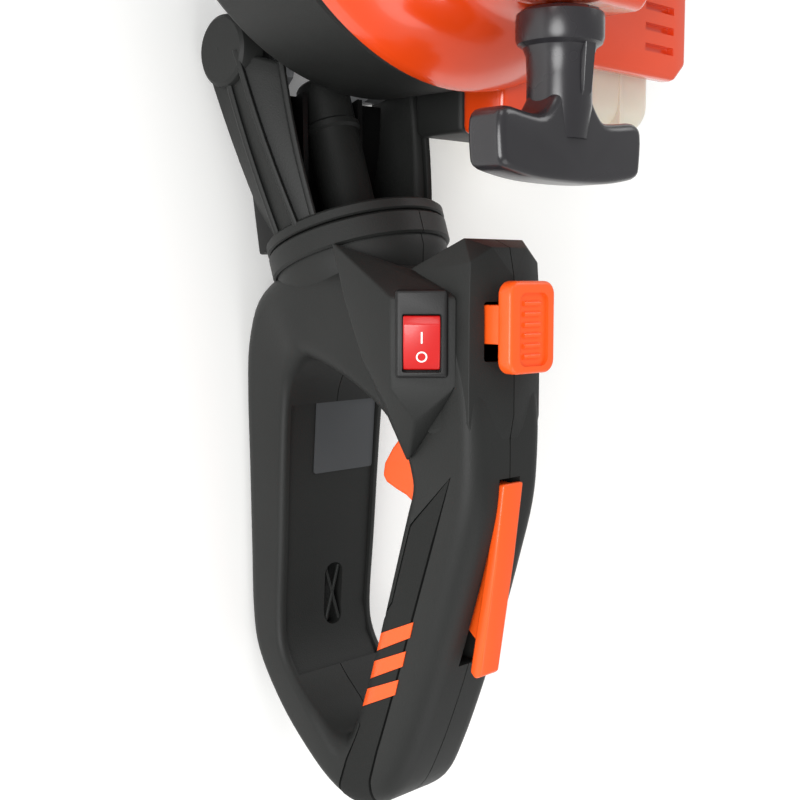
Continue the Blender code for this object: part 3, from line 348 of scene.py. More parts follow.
def block(name, low, high):
    """A cube primitive stretched between two corners in millimetres."""
    low_point = at(*low)
    high_point = at(*high)
    bpy.ops.object.select_all(action="DESELECT")
    bpy.ops.mesh.primitive_cube_add(size=1, location=(low_point + high_point) / 2)
    made = bpy.context.object
    made.name = name
    made.scale = high_point - low_point
    return settle(made)


def drum(name, radius, start, end, sides=48, end_radius=None):
    """A cylinder or cone primitive between two points in millimetres."""
    a = at(*start)
    b = at(*end)
    bpy.ops.object.select_all(action="DESELECT")
    bpy.ops.mesh.primitive_cone_add(vertices=sides, radius1=radius * MM,
                                    radius2=(end_radius or radius) * MM,
                                    depth=(b - a).length, location=(a + b) / 2)
    made = bpy.context.object
    made.name = name
    made.rotation_euler = (b - a).to_track_quat("Z", "Y").to_euler()
    return settle(made)


def put_ring(obj, points):
    """In edit mode, move the selected ring of vertices to the given places, in order."""
    shape = bmesh.from_edit_mesh(obj.data)
    shape.verts.ensure_lookup_table()
    ring = [v for v in shape.verts if v.select]
    for vertex, point in zip(sorted(ring, key=lambda v: v.index), points):
        vertex.co = point
    bmesh.update_edit_mesh(obj.data)


def plate(name, outline, thickness, frame_of=None):
    """A filled circle primitive pulled to an outline in its own plane, then extruded.

    frame_of is a matrix that takes (u, v, depth), in millimetres, to the machine.
    """
    bpy.ops.object.select_all(action="DESELECT")
    bpy.ops.mesh.primitive_circle_add(vertices=len(outline), fill_type="NGON")
    made = bpy.context.object
    made.name = name
    bpy.ops.object.mode_set(mode="EDIT")
    put_ring(made, [Vector((u, v, 0)) * MM for u, v in outline])
    bpy.ops.mesh.select_all(action="SELECT")
    bpy.ops.mesh.extrude_region_move(
        TRANSFORM_OT_translate={"value": (0, 0, thickness * MM)})
    bpy.ops.mesh.select_all(action="SELECT")
    bpy.ops.mesh.normals_make_consistent(inside=False)
    bpy.ops.object.mode_set(mode="OBJECT")
    made.matrix_world = frame_of
    return settle(made)


def sweep(name, rings, closed=False):
    """A circle primitive extruded edge by edge through a row of rings, then closed."""
    bpy.ops.object.select_all(action="DESELECT")
    count = len(rings[0])
    bpy.ops.mesh.primitive_circle_add(vertices=count)
    made = bpy.context.object
    made.name = name
    bpy.ops.object.mode_set(mode="EDIT")
    put_ring(made, rings[0])
    for ring in rings[1:]:
        bpy.ops.mesh.extrude_edges_move()
        put_ring(made, ring)
    shape = bmesh.from_edit_mesh(made.data)
    shape.verts.ensure_lookup_table()
    ends = [set(shape.verts[:count]), set(shape.verts[-count:])]
    for chosen in ([ends] if closed else [[ends[0]], [ends[1]]]):
        bpy.ops.mesh.select_all(action="DESELECT")
        for edge in shape.edges:
            if any(set(edge.verts) <= ring for ring in chosen):
                edge.select_set(True)
        bmesh.update_edit_mesh(made.data)
        if closed:
            bpy.ops.mesh.bridge_edge_loops()
        else:
            bpy.ops.mesh.edge_face_add()
        shape = bmesh.from_edit_mesh(made.data)
    bpy.ops.mesh.select_all(action="SELECT")
    bpy.ops.mesh.normals_make_consistent(inside=False)
    bpy.ops.object.mode_set(mode="OBJECT")
    return made


def faceted(name, corners):
    """Corner points wrapped in flat faces with the convex hull operator."""
    bpy.ops.object.select_all(action="DESELECT")
    bpy.ops.mesh.primitive_circle_add(vertices=len(corners))
    made = bpy.context.object
    made.name = name
    bpy.ops.object.mode_set(mode="EDIT")
    bpy.ops.mesh.delete(type="EDGE_FACE")
    bpy.ops.mesh.select_all(action="SELECT")
    put_ring(made, [at(*p) for p in corners])
    bpy.ops.mesh.select_all(action="SELECT")
    bpy.ops.mesh.convex_hull()
    bpy.ops.mesh.select_all(action="SELECT")
    bpy.ops.mesh.normals_make_consistent(inside=False)
    bpy.ops.object.mode_set(mode="OBJECT")
    return made


def spun(name, profile, centre, axis, steps=64):
    """A profile of (radius, height) edges, spun round an axis in edit mode."""
    bpy.ops.object.select_all(action="DESELECT")
    bpy.ops.mesh.primitive_circle_add(vertices=len(profile))
    made = bpy.context.object
    made.name = name
    bpy.ops.object.mode_set(mode="EDIT")
    shape = bmesh.from_edit_mesh(made.data)
    shape.verts.ensure_lookup_table()
    for vertex, (radius, height) in zip(shape.verts, profile):
        vertex.co = Vector((radius, 0, height)) * MM
    ends_on_axis = profile[0][0] == 0 and profile[-1][0] == 0
    if ends_on_axis:
        last = shape.verts[len(profile) - 1]
        closing = [e for e in shape.edges if shape.verts[0] in e.verts and last in e.verts]
        bmesh.ops.delete(shape, geom=closing, context="EDGES")
    bmesh.update_edit_mesh(made.data)
    bpy.ops.mesh.select_all(action="SELECT")
    bpy.ops.mesh.spin(steps=steps, angle=2 * math.pi, center=(0, 0, 0), axis=(0, 0, 1))
    bpy.ops.mesh.select_all(action="SELECT")
    bpy.ops.mesh.remove_doubles(threshold=0.000005)
    bpy.ops.mesh.normals_make_consistent(inside=False)
    bpy.ops.object.mode_set(mode="OBJECT")
    turn = Vector(axis).normalized().to_track_quat("Z", "Y").to_matrix().to_4x4()
    made.matrix_world = Matrix.Translation(at(*centre)) @ turn
    return settle(made)


def use(obj, kind, **settings):
    """Add a modifier, set it and apply it."""
    only(obj)
    change = obj.modifiers.new(kind.lower(), kind)
    for key, value in settings.items():
        setattr(change, key, value)
    bpy.ops.object.modifier_apply(modifier=change.name)
    return obj


def cut(obj, *tools):
    for tool in tools:
        use(obj, "BOOLEAN", operation="DIFFERENCE", object=tool, solver="EXACT")
        bpy.data.objects.remove(tool, do_unlink=True)
    return obj


def fuse(obj, *others):
    for other in others:
        use(obj, "BOOLEAN", operation="UNION", object=other, solver="EXACT")
        bpy.data.objects.remove(other, do_unlink=True)
    return obj


def round_over(obj, width, segments=3, degrees=28):
    return use(obj, "BEVEL", width=width * MM, segments=segments, limit_method="ANGLE",
               angle_limit=math.radians(degrees), harden_normals=False)


def hand_over(obj, name, finish, body, *nodes, degrees=30):
    """Name a finished piece, give it its finish, and let it ride on its body."""
    only(obj)
    obj.name = name
    obj.data.name = name
    obj.data.materials.clear()
    obj.data.materials.append(finish)
    bpy.ops.object.shade_smooth_by_angle(angle=math.radians(degrees))
    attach(obj, body)
    if nodes:
        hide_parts(*nodes)
    print(name, len(obj.data.polygons), "faces on", body)
    return obj


def frame_at(origin, along, across, outward):
    """A matrix whose columns are three directions, standing at a point in millimetres."""
    turn = Matrix((along, across, outward)).transposed().to_4x4()
    return Matrix.Translation(at(*origin)) @ turn


def curved(points, steps):
    """A smooth closed row of points, lists of numbers, through the given ones."""
    made = []
    count = len(points)
    for i in range(count):
        a, b, c, d = (points[(i + k) % count] for k in (-1, 0, 1, 2))
        for step in range(steps):
            t = step / steps
            made.append([0.5 * (2 * q + (r - p) * t + (2 * p - 5 * q + 4 * r - s) * t * t
                                + (3 * q - p - 3 * r + s) * t ** 3)
                         for p, q, r, s in zip(a, b, c, d)])
    return made


# %% [markdown]
# ## Rear handle
# The rear handle is two glass-filled nylon shells screwed together: a closed D that a hand
# goes through, a raised block on top for the lock, and a wedge on the left for the stop
# switch.  A sweep suits the D, because its section changes slowly: wide and square in the
# knuckle guard below, narrow and rounded in the grip.  The block and the wedge are flat-sided,
# so they are wrapped from their corner points and stand on it as pieces of their own.

# %% The D of the handle
# Each row: inner x and z, outer x and z, half width, then the corner radius out and in.
D_SECTIONS = [
    (-44, 4, -9, 7, 31, 12, 9),
    (-50, 20, -10, 36, 29, 11, 8),
    (-60, 32, -14, 54, 24, 9, 8),
    (-70, 39, -26, 65, 20.5, 7, 8),
    (-77, 42, -38, 71, 19.5, 7, 8),
    (-83, 44, -56, 75, 19.5, 7, 8),
    (-89, 44, -75, 76, 19.5, 8, 9),
    (-98, 41, -92, 75, 19.5, 9, 9),
    (-118, 35, -112, 70, 19.5, 10, 9),
    (-141, 28, -138, 62, 19.5, 10, 9),
    (-160, 22, -164, 53, 19.5, 10, 9),
    (-176, 16, -188, 43, 20, 10, 9),
    (-183, 13, -203, 34, 21, 10, 9),
    (-185, 11, -210, 21, 22, 9, 8),
    (-184, 8, -204, 7, 24, 7, 6),
    (-177, 1, -190, -8, 25, 4, 4),
    (-168, -9, -176, -22, 25, 4, 3),
    (-158, -16, -160, -34, 25, 6, 3),
    (-146, -18, -144, -38, 25, 7, 3),
    (-118, -16, -118, -38, 25.5, 7, 3),
    (-88, -14, -86, -38, 26, 7, 3),
    (-64, -12, -58, -38, 26.5, 7, 3),
    (-53, -9, -38, -36, 27.5, 8, 4),
    (-47, -4, -21, -28, 29, 9, 6),
    (-44, 0, -12, -12, 31, 10, 8),
]
CORNER_STEPS = 6


def d_ring(inner_x, inner_z, outer_x, outer_z, half_width, outer_radius, inner_radius,
           inset=0.0):
    """One rounded rectangle of the D, standing across the handle."""
    inner = Vector((inner_x, inner_z))
    outer = Vector((outer_x, outer_z))
    middle = (inner + outer) / 2
    along = (outer - inner).normalized()
    half = (outer - inner).length / 2 - inset
    width = half_width - inset
    ring = []
    for sign_u, sign_v, start in ((1, 1, 0), (-1, 1, 90), (-1, -1, 180), (1, -1, 270)):
        radius = max(0.4, (outer_radius if sign_u > 0 else inner_radius) - inset)
        for i in range(CORNER_STEPS + 1):
            angle = math.radians(start + 90 * i / CORNER_STEPS)
            u = sign_u * (half - radius) + radius * math.cos(angle)
            v = sign_v * (width - radius) + radius * math.sin(angle)
            flat = middle + along * u
            ring.append(at(flat.x, v, flat.y))
    return ring


def d_loop(name, inset=0.0):
    return sweep(name, [d_ring(*row, inset=inset) for row in curved(D_SECTIONS, 4)], True)


handle = d_loop("handle")
print("handle loop", len(handle.data.polygons), "faces")


# %% [markdown]
# The neck carries a plain collar, 68 mm across, that meets the fixed ring across a thin dark
# joint.  The neck tilts 18.6 degrees, which is the angle between the handle's run and the
# machine's.  Below the collar the neck steps in a little before it spreads into the D.

# %% Neck, lock block and switch wedge
def on_collar(along, across, height):
    """A point along the collar's axis, across it and square to both, in millimetres."""
    x = along * math.cos(COLLAR_TILT) + height * math.sin(COLLAR_TILT)
    z = -along * math.sin(COLLAR_TILT) + height * math.cos(COLLAR_TILT)
    return (x, across, z)


collar = spun("collar", [(0, -0.3), (33.2, -0.3), (34, -1.1), (34, -8.2), (33.2, -9), (0, -9)],
              (0, 0, 0), COLLAR_AXIS, 96)
neck = spun("neck", [(0, -8), (32.4, -8), (32.4, -13), (29, -22), (20, -34), (0, -36)],
            (0, 0, 0), COLLAR_AXIS, 96)
fuse(handle, collar, neck)
print("handle with neck", len(handle.data.polygons), "faces")

lock_block = faceted("lock_block", [
    (-11, 19, 47), (-11, -19, 47), (-1, 15, 68), (-1, -15, 68), (-4, 9, 75), (-4, -9, 75),
    (-9, 17.5, 73), (-9, -17.5, 73), (-14, 0, 77), (-30, 0, 77.5), (-60, 0, 77.5),
    (-26, 18.5, 73.5), (-26, -18.5, 73.5), (-62, 18.5, 73.5), (-62, -18.5, 73.5),
    (-72, 16, 73.5), (-72, -16, 73.5), (-78, 9, 74), (-78, -9, 74),
    (-66, 20, 56), (-66, -20, 56), (-40, 20.5, 40), (-40, -20.5, 40), (-14, 20.5, 42),
    (-14, -20.5, 42)])
round_over(lock_block, 1.2, 3, 12)
wedge = faceted("switch_wedge", [
    (-20.5, 19.2, 68.4), (-20.5, 34.8, 52.8), (-50.5, 34.8, 52.8), (-50.5, 19.2, 68.4),
    (-16, 32, 46), (-2, 32.5, 22), (-22, 34, 30), (-41, 34, 38.5), (-56, 32, 48),
    (-62, 27, 57), (-78, 20, 47), (-60, 17, 60), (-14, 16, 56), (-6, 20, 10), (-40, 15, 20)])
round_over(wedge, 0.8, 2, 20)


# %% [markdown]
# The openings are cut once the body is whole: the switch pocket, the slot that the lock
# slides in, the long slot for the palm lever, the trigger's mouth, and the moulded groove
# that runs round the soft panel on each side of the grip.  The joint between the two
# shells is a fine line round the middle of the whole handle.

# %% Openings in the handle
SWITCH_CENTRE = Vector((-35.5, 27.0, 60.0))
SWITCH_NORMAL = Vector((0.0, 1.0, 1.0)).normalized()
SWITCH_UP = Vector((1.0, 0.0, 0.0))
SWITCH_SIDE = SWITCH_NORMAL.cross(SWITCH_UP)
TO_SIDE = Matrix(((1, 0, 0, 0), (0, 0, -1, 0), (0, 1, 0, 0), (0, 0, 0, 1)))


def rounded_rectangle(half_u, half_v, radius, steps=4, centre=(0, 0)):
    """Corner-rounded outline, in millimetres, as a list of (u, v)."""
    outline = []
    for su, sv, start in ((1, 1, 0), (-1, 1, 90), (-1, -1, 180), (1, -1, 270)):
        for i in range(steps + 1):
            angle = math.radians(start + 90 * i / steps)
            outline.append((centre[0] + su * (half_u - radius) + radius * math.cos(angle),
                            centre[1] + sv * (half_v - radius) + radius * math.sin(angle)))
    return outline


def switch_plate(name, outline, low, thickness):
    """A plate on the switch's own directions, low millimetres above its face."""
    stand = frame_at(SWITCH_CENTRE + SWITCH_NORMAL * low, SWITCH_UP, SWITCH_SIDE, SWITCH_NORMAL)
    return plate(name, outline, thickness, stand)


def lock_cutter(name, half_x, half_y, radius, low, height):
    """A rounded slot through the top of the lock block."""
    return plate(name, rounded_rectangle(half_x, half_y, radius, 4, (-32, 0)), height,
                 Matrix.Translation(at(0, 0, low)))


cut(wedge, switch_plate("pocket", rounded_rectangle(11.2, 8.2, 0.6), -16, 20))
cut(handle, switch_plate("pocket", rounded_rectangle(11.2, 8.2, 0.6), -16, 20),
    lock_cutter("slot", 10, 12.5, 1.2, 62, 40),
    block("lever_slot", (-151, -5.4, 50), (-82, 5.4, 90)),
    block("trigger_slot", (-101, -6.5, 22), (-70, 6.5, 60)),
    plate("window", rounded_rectangle(12.5, 4.6, 4.2, 6, (-140, -4)), 8,
          Matrix.Translation(at(0, 0, -23))))
cut(lock_block, lock_cutter("slot", 10, 12.5, 1.2, 62, 40),
    lock_cutter("rim", 11.4, 13.6, 1.6, 76.6, 10))


# %% The channel in the knuckle guard
rim_width = 3.6
channel = sweep("channel", [
    [at(x + dx, s * (w - rim_width), z + dz) for dx, dz, s in
     ((-nx * 2, nz * -1.6, 1), (nx * 4, nz * 4, 1), (nx * 4, nz * 4, -1), (-nx * 2, nz * -1.6, -1))]
    for x, z, w, nx, nz in ((-62, -12.1, 26.5, 0, 1), (-88, -14, 26, 0, 1), (-118, -16, 25.5, 0, 1),
                            (-146, -18, 25, 0.1, 1), (-157, -16.2, 25, 0.6, 0.8),
                            (-166, -10.5, 25, 0.75, 0.66))])
cut(handle, channel)


# %% [markdown]
# A rating plate sits in the channel.  Here it is a blank film, 0.3 mm thick.

# %% Rating plate and window ribs
label_run = Vector((1, 0, 0.073)).normalized()
label = plate("label", rounded_rectangle(14.5, 15.5, 1.2, 4), 0.4,
              frame_at((-75.5, -6.5, -14.6), label_run, Vector((0, 1, 0)),
                       label_run.cross(Vector((0, 1, 0)))))
hand_over(label, "rating_plate", label_film, "rear_handle")
for i, (start, end) in enumerate((((-151, -7.6, -20), (-129, -0.6, -20)),
                                  ((-151, -0.6, -20), (-129, -7.6, -20)))):
    web = drum("window_rib", 0.7, start, end, 12)
    hand_over(web, "window_rib_%d" % (i + 1), nylon, "rear_handle")


# %% The line between the two shells
def joint_groove(inside):
    """A thin sheet on the middle plane with the handle's inside taken away."""
    sheet = block("joint_sheet", (-230, -0.22, -60), (40, 0.22, 100))
    return cut(sheet, inside)


cut(handle, joint_groove(d_loop("inside", 0.8)))
cut(lock_block, joint_groove(faceted("inside", [
    (-12, 17, 47), (-12, -17, 47), (-2.5, 12, 67), (-2.5, -12, 67), (-6, 8, 73.8),
    (-6, -8, 73.8), (-14, 0, 76.1), (-30, 0, 76.6), (-60, 0, 76.6), (-77, 0, 73),
    (-72, 14, 72), (-72, -14, 72), (-66, 16, 50), (-66, -16, 50), (-20, 15, 40),
    (-20, -15, 40)])))
hand_over(lock_block, "lock_block", nylon, "rear_handle")
hand_over(wedge, "switch_wedge", nylon, "rear_handle")


# %% [markdown]
# Each side of the grip carries a soft panel.  On the machine a groove about 1 mm wide runs
# round it, it comes to a point near the trigger, and three slanting orange bars sit in it near
# the heel of the hand.  The groove is the difference between two copies of the panel's
# outline, so it keeps the same width all the way round.

# %% Grip panels and their bars
PANEL = [(-81, 66.2), (-105, 57.9), (-133, 48.4), (-160, 39.5), (-185, 31.1), (-197, 28),
         (-222, 26.5), (-222, 13.5), (-204, 13.5), (-192, 16.5), (-178, 21.5), (-173, 14),
         (-150, 22), (-137, 31), (-129, 38.2), (-100, 47.4)]
BAR = [(-133.8, 49.2), (-139.7, 47.5), (-148.8, 29.0), (-141.9, 30.9)]
BAR_STEP = (11.2, 3.7)


def grown(outline, distance):
    """The outline with every corner moved outward by a distance."""
    moved = []
    for i, here in enumerate(outline):
        before = Vector(here) - Vector(outline[i - 1])
        after = Vector(outline[(i + 1) % len(outline)]) - Vector(here)
        normal = (Vector((-before.y, before.x)).normalized()
                  + Vector((-after.y, after.x)).normalized()).normalized()
        moved.append(tuple(Vector(here) - normal * distance))
    return moved


def side_plate(name, outline, near, far):
    """A plate across the handle between two values of Y."""
    stand = Matrix.Translation(at(0, far, 0)) @ TO_SIDE
    return plate(name, outline, far - near, stand)


def skin(name, outline, near, far, deep, proud):
    """The part of the handle's skin under an outline, from so deep to so proud of it."""
    piece = side_plate(name, outline, near, far)
    use(piece, "BOOLEAN", operation="INTERSECT", object=proud, solver="EXACT")
    use(piece, "BOOLEAN", operation="DIFFERENCE", object=deep, solver="EXACT")
    return piece


proud_skin = d_loop("proud_skin", -0.35)
level_skin = d_loop("level_skin", -0.15)
deep_skin = d_loop("deep_skin", 1.0)
for side, near, far in ((1, 10, 26), (-1, -26, -10)):
    name = "left" if side > 0 else "right"
    groove = skin("groove", grown(PANEL, 0.55), near, far, deep_skin, proud_skin)
    cut(handle, groove)
    panel = skin("panel", grown(PANEL, -0.35), near, far, deep_skin, level_skin)
    for i in range(3):
        bar_outline = [(x - BAR_STEP[0] * i, z - BAR_STEP[1] * i) for x, z in BAR]
        socket = skin("socket", grown(bar_outline, 0.25), near, far, deep_skin, proud_skin)
        cut(panel, socket)
        bar = skin("bar", bar_outline, near, far, deep_skin, proud_skin)
        hand_over(bar, "grip_bar_%s_%d" % (name, i + 1), satin_abs, "rear_handle")
    hand_over(panel, "grip_panel_" + name, soft_grip, "rear_handle", "grip_pad_" + name)
for guide in (proud_skin, level_skin, deep_skin):
    bpy.data.objects.remove(guide, do_unlink=True)
hand_over(handle, "handle_body", nylon, "rear_handle", "handle_shell_left",
          "handle_shell_right")


# %% [markdown]
# ## Controls
# The stop switch is a red polycarbonate rocker in a raised frame.  Its face is one long flat
# that slopes down from a narrow lip, so it reads as pressed to one side.  The two marks are
# pad-printed, so they are thin plates a tenth of a millimetre proud of the face.

# %% Stop switch
frame_outline = rounded_rectangle(14.6, 8.7, 1.2, 3, (3.0, 0))
bezel = switch_plate("switch_frame", frame_outline, -1.0, 3.6)
round_over(bezel, 1.0, 3, 40)
cut(bezel, switch_plate("opening", rounded_rectangle(9.7, 6.5, 0.7), -16, 30))
hand_over(bezel, "switch_frame", black_nylon, "rear_handle")

rocker_stand = frame_at(SWITCH_CENTRE - SWITCH_SIDE * 6.1, SWITCH_UP, SWITCH_NORMAL,
                        SWITCH_SIDE)
rocker = plate("rocker", [(-9.0, -2.4), (0, -8.0), (9.0, -2.4), (9.0, 3.4), (6.2, 5.0),
                          (-8.8, 1.9)], 12.2, rocker_stand)
round_over(rocker, 0.5, 3, 15)
hand_over(rocker, "rocker", red_pc, "switch_rocker", "stop_switch_rocker")
FACE_SLOPE = math.atan2(3.1, 15.0)
face_up = SWITCH_UP * math.cos(FACE_SLOPE) + SWITCH_NORMAL * math.sin(FACE_SLOPE)
face_out = SWITCH_NORMAL * math.cos(FACE_SLOPE) - SWITCH_UP * math.sin(FACE_SLOPE)


def on_rocker(distance):
    """A place on the rocker's long face, a distance along it from the switch's centre."""
    return SWITCH_CENTRE + SWITCH_NORMAL * (3.66 + 0.04) + face_up * distance


on_mark = plate("on_mark", rounded_rectangle(2.0, 0.28, 0.25), 0.14,
                frame_at(on_rocker(1.9), face_up, SWITCH_SIDE, face_out))
hand_over(on_mark, "on_mark", white_print, "switch_rocker")
off_mark = spun("off_mark", [(1.35, 0), (1.85, 0), (1.85, 0.14), (1.35, 0.14)],
                on_rocker(-4.6), face_out, 48)
hand_over(off_mark, "off_mark", white_print, "switch_rocker")


# %% [markdown]
# The lock that frees the rear handle is an orange thumb pad on a square stem.  The pad's top
# is dished, and a row of low bars gives the thumb a hold when it slides the pad back.

# %% Rotation lock
lock_pad = plate("lock_pad", rounded_rectangle(15.4, 11.8, 4.6, 8, (-30.5, 0)), 6,
                 Matrix.Translation(at(0, 0, 79.5)))
round_over(lock_pad, 1.5, 4, 40)
dish = plate("dish", rounded_rectangle(12.2, 7.4, 3.2, 6, (-31.2, -0.4)), 4,
             Matrix.Translation(at(0, 0, 84.4)))
cut(lock_pad, dish)
for i in range(6):
    x = -22.6 - i * 3.5
    rib = drum("rib", 0.9, (x, -4.2, 84.4), (x, 4.2, 84.4), 16)
    fuse(lock_pad, rib)
stem = block("stem", (-36, -11.5, 70), (-23, 11.5, 80.5))
round_over(stem, 0.6, 2)
foot = block("foot", (-34, -7, 62), (-25, 7, 71))
fuse(stem, foot)
hand_over(lock_pad, "lock_pad", satin_abs, "lock_button", "rotation_lock")
hand_over(stem, "lock_stem", satin_abs, "lock_button")


# %% Palm lever and trigger
lever_cap = side_plate("lever_cap", [(-83.5, 77.9), (-110, 74.4), (-152.5, 67.5), (-154, 65.0),
                                     (-152, 62.6), (-110, 70.2), (-84, 74.4)], -5.2, 5.2)
round_over(lever_cap, 1.0, 3, 30)
lever_web = side_plate("lever_web", [
    (-84.5, 76.5), (-151, 66.2), (-151.5, 62.9), (-141, 63.8), (-138, 60.2), (-134, 58),
    (-118, 58.5), (-104, 63), (-92, 66), (-86, 66), (-83.6, 70)], -2.9, 2.9)
round_over(lever_web, 0.5, 2, 30)
hand_over(lever_cap, "lever_cap", satin_abs, "lockout", "throttle_lockout")
hand_over(lever_web, "lever_web", satin_abs, "lockout")

trigger_edge = [(-74, 47), (-72, 40), (-71, 31), (-73, 27), (-76, 24.2), (-82, 20), (-87, 19),
                (-89.4, 21), (-91.4, 26), (-93.0, 31), (-95.4, 35), (-97, 38), (-92, 47),
                (-86, 52), (-78, 53)]
trigger = side_plate("trigger", trigger_edge, -5.6, 5.6)
round_over(trigger, 1.4, 4, 40)
hand_over(trigger, "trigger", satin_abs, "trigger", "throttle_trigger")


# %% [markdown]
# ## Swivel bracket
# The bracket is one nylon casting.  A ring closes the collar, a spindle runs forward along the
# handle's axis, and two arms end in the round bosses that the rubber buffers sit in.  Two ribs
# stand on the outside of each arm with a channel between them.  Ring and spindle are one spun
# profile; each arm is swept from the ring to its boss.

# %% Fork arms and ring
ring = spun("ring", [(0, 62), (9.2, 62), (10, 61), (10, 46), (11, 45), (11, 43), (10, 42),
                     (10, 12), (14, 4.5), (33.2, 4.5), (34, 3.7), (34, 0.8), (33.4, 0.3),
                     (26, 0.3), (0, 0.3)], (0, 0, 0), COLLAR_AXIS, 96)
hand_over(ring, "swivel_ring", nylon, "chassis", "swivel_bracket")
for side, name in ((1, "left"), (-1, "right")):
    root = [Vector(on_collar(2.2, side * y, up)) for y, up in
            ((20, -24), (31, -7), (31.5, 4), (29, 10), (25.5, 7), (16, -18))]
    tip = [Vector(p) for p in
           ((60, side * 45, -31.5), (68, side * 45, -23), (66, side * 45, -14),
            (62, side * 35, -2), (62, side * 31, -3), (60, side * 37.6, -31.5))]
    swells = [Vector((0, side * math.sin(math.pi * step / 8) * 1.4, 0)) for step in range(9)]
    paths = [[a.lerp(b, step / 8) + swells[step] for step in range(9)]
             for a, b in zip(root, tip)]
    arm = sweep("arm", [[at(*path[step]) for path in paths] for step in range(9)])
    round_over(arm, 1.4, 3, 25)
    hand_over(arm, "fork_arm_" + name, nylon, "chassis")
    for number, (edge, lean_y, lean_z) in enumerate(((1, 0.6, -0.2), (2, 0.9, 0.5),
                                                     (3, 0.3, 0.9))):
        rib_rows = []
        for step in range(0, 9):
            base = paths[edge][step] + Vector((0, side * lean_y, lean_z))
            rib_rows.append([at(base.x, base.y + side * u, base.z + v) for u, v in
                             ((1.3, 0.0), (0.4, 1.4), (-1.3, 0.6), (-1.3, -1.2), (0.6, -1.4))])
        rib = sweep("rib", rib_rows)
        round_over(rib, 0.35, 2, 30)
        hand_over(rib, "arm_rib_%s_%d" % (name, number + 1), nylon, "chassis")
    boss = spun("boss", [(4.4, 37), (13, 37), (13, 43.8), (12.6, 45.2), (11.4, 46.2),
                         (0, 46.6), (0, 44.0), (4.4, 44.0)],
                (67, 0, -22), (0, side, 0), 64)
    hand_over(boss, "fork_boss_" + name, nylon, "chassis")


# %% [markdown]
# Below the spindle a web ties the two arms together, with three stiffening ribs on it.

# %% Web between the arms
web_corners = []
for along, across, height in ((3.0, 26, -27), (3.0, 26, -17), (58, 33, -10), (58, 33, -2)):
    x, y, z = on_collar(along, across, height)
    web_corners += [(x, y, z), (x, -y, z)]
web = faceted("web", web_corners)
round_over(web, 1.0, 2, 30)
hand_over(web, "fork_web", black_nylon, "chassis")
for i, across in enumerate((-14, 0, 14)):
    corners = []
    for along, height in ((4.0, -24), (4.0, -11.5), (56, -8), (56, 5)):
        x, y, z = on_collar(along, across + 1.2, height)
        corners += [(x, y, z), (x, y - 2.4, z)]
    rib = faceted("rib", corners)
    hand_over(rib, "fork_web_rib_%d" % (i + 1), black_nylon, "chassis")


# %% [markdown]
# ## Engine housing
# A dark drum carries the engine and an orange shroud closes it from above.  Both are turned
# shapes, so both are spun.  The shroud has a soft shoulder, a rolled rim that laps the drum,
# and three rings of narrow vents in its top, where the flywheel draws its air.

# %% Lower housing and shroud
drum_wall = spun("drum_wall", [(98, 50), (98, 47.6), (97.2, 47.0), (97.2, 45.8), (98, 45.2),
                               (98, 4), (97, 1.6), (95, 0), (36.5, 0), (36.5, 3), (95, 3),
                               (95, 50)], (150, 0, 0), (0, 0, 1), 160)
cut(drum_wall, block("engine_side", (109, -130, -20), (262, -37, 61)),
    block("intake_side", (30, -130, -20), (109.5, -25.5, 61)))
hand_over(drum_wall, "drum_wall", nylon, "chassis", "lower_housing")
SHOULDER = [(100, 50.4), (100, 53.4), (99.2, 55.2), (97.4, 58.4), (95, 61.6), (91.6, 66),
            (87.6, 70.0), (83.6, 73.0), (80.6, 75.6), (79, 79.0), (78.2, 84), (77.6, 96),
            (77.0, 104), (75.6, 108), (72.6, 111.4), (68, 113), (0, 113)]
UNDER = [(0, 110), (67, 110), (72, 107), (74.2, 103), (75, 80), (77.4, 75), (84, 69.6),
         (90, 63), (96, 54), (97.6, 50.4)]
shroud = spun("shroud", SHOULDER + UNDER, (150, 0, 0), (0, 0, 1), 160)
cut(shroud, drum("rope_hole", 3.2, (60, 0, 95), (100, 0, 95), 32))
for count, radius in ((12, 22), (20, 36), (28, 50)):
    for i in range(count):
        angle = 2 * math.pi * i / count
        vent = block("vent", (150 + radius - 4.6, -1.3, 105), (150 + radius + 4.6, 1.3, 120))
        only(vent)
        bpy.ops.object.mode_set(mode="EDIT")
        bpy.ops.mesh.select_all(action="SELECT")
        bpy.ops.transform.rotate(value=-angle, orient_axis="Z",
                                 center_override=tuple(at(150, 0, 0)))
        bpy.ops.object.mode_set(mode="OBJECT")
        if i == 0:
            vents = vent
        else:
            only(vents)
            vent.select_set(True)
            bpy.ops.object.join()
    cut(shroud, vents)
hand_over(shroud, "shroud", gloss_abs, "chassis", "engine_shroud")
post = spun("post", [(0, 110.5), (9, 110.5), (9, 107), (3.6, 107), (3.6, 90), (0, 90)],
            (150, 0, 0), (0, 0, 1), 32)
hand_over(post, "starter_post", black_nylon, "chassis")
bush = spun("bush", [(1.9, -3), (3.1, -3), (3.1, 0.6), (4.6, 0.8), (4.8, 1.6), (4.0, 2.2),
                     (1.9, 2.2), (1.9, -3)][:-1], (72.9, 0, 95), (-1, 0, 0), 40)
hand_over(bush, "rope_bush", black_nylon, "chassis")
for i, angle in enumerate((28, 118, 208, 298)):
    x = 150 + 87.4 * math.cos(math.radians(angle))
    y = 87.4 * math.sin(math.radians(angle))
    screw = spun("screw", [(0, 71.6), (1.6, 71.6), (1.6, 73.2), (3.4, 73.2), (3.9, 72.4),
                           (3.9, 68.0), (0, 68.0)], (x, y, 0), (0, 0, 1), 32)
    hand_over(screw, "shroud_screw_%d" % (i + 1), zinc_steel, "chassis")


# %% [markdown]
# ## Starter grip
# The grip is a T: a round cap that seats against the shroud, a stem, and a bar that two
# fingers hook.  The bar is an outline extruded and rounded over; the cap and stem are spun
# about the rope's line.

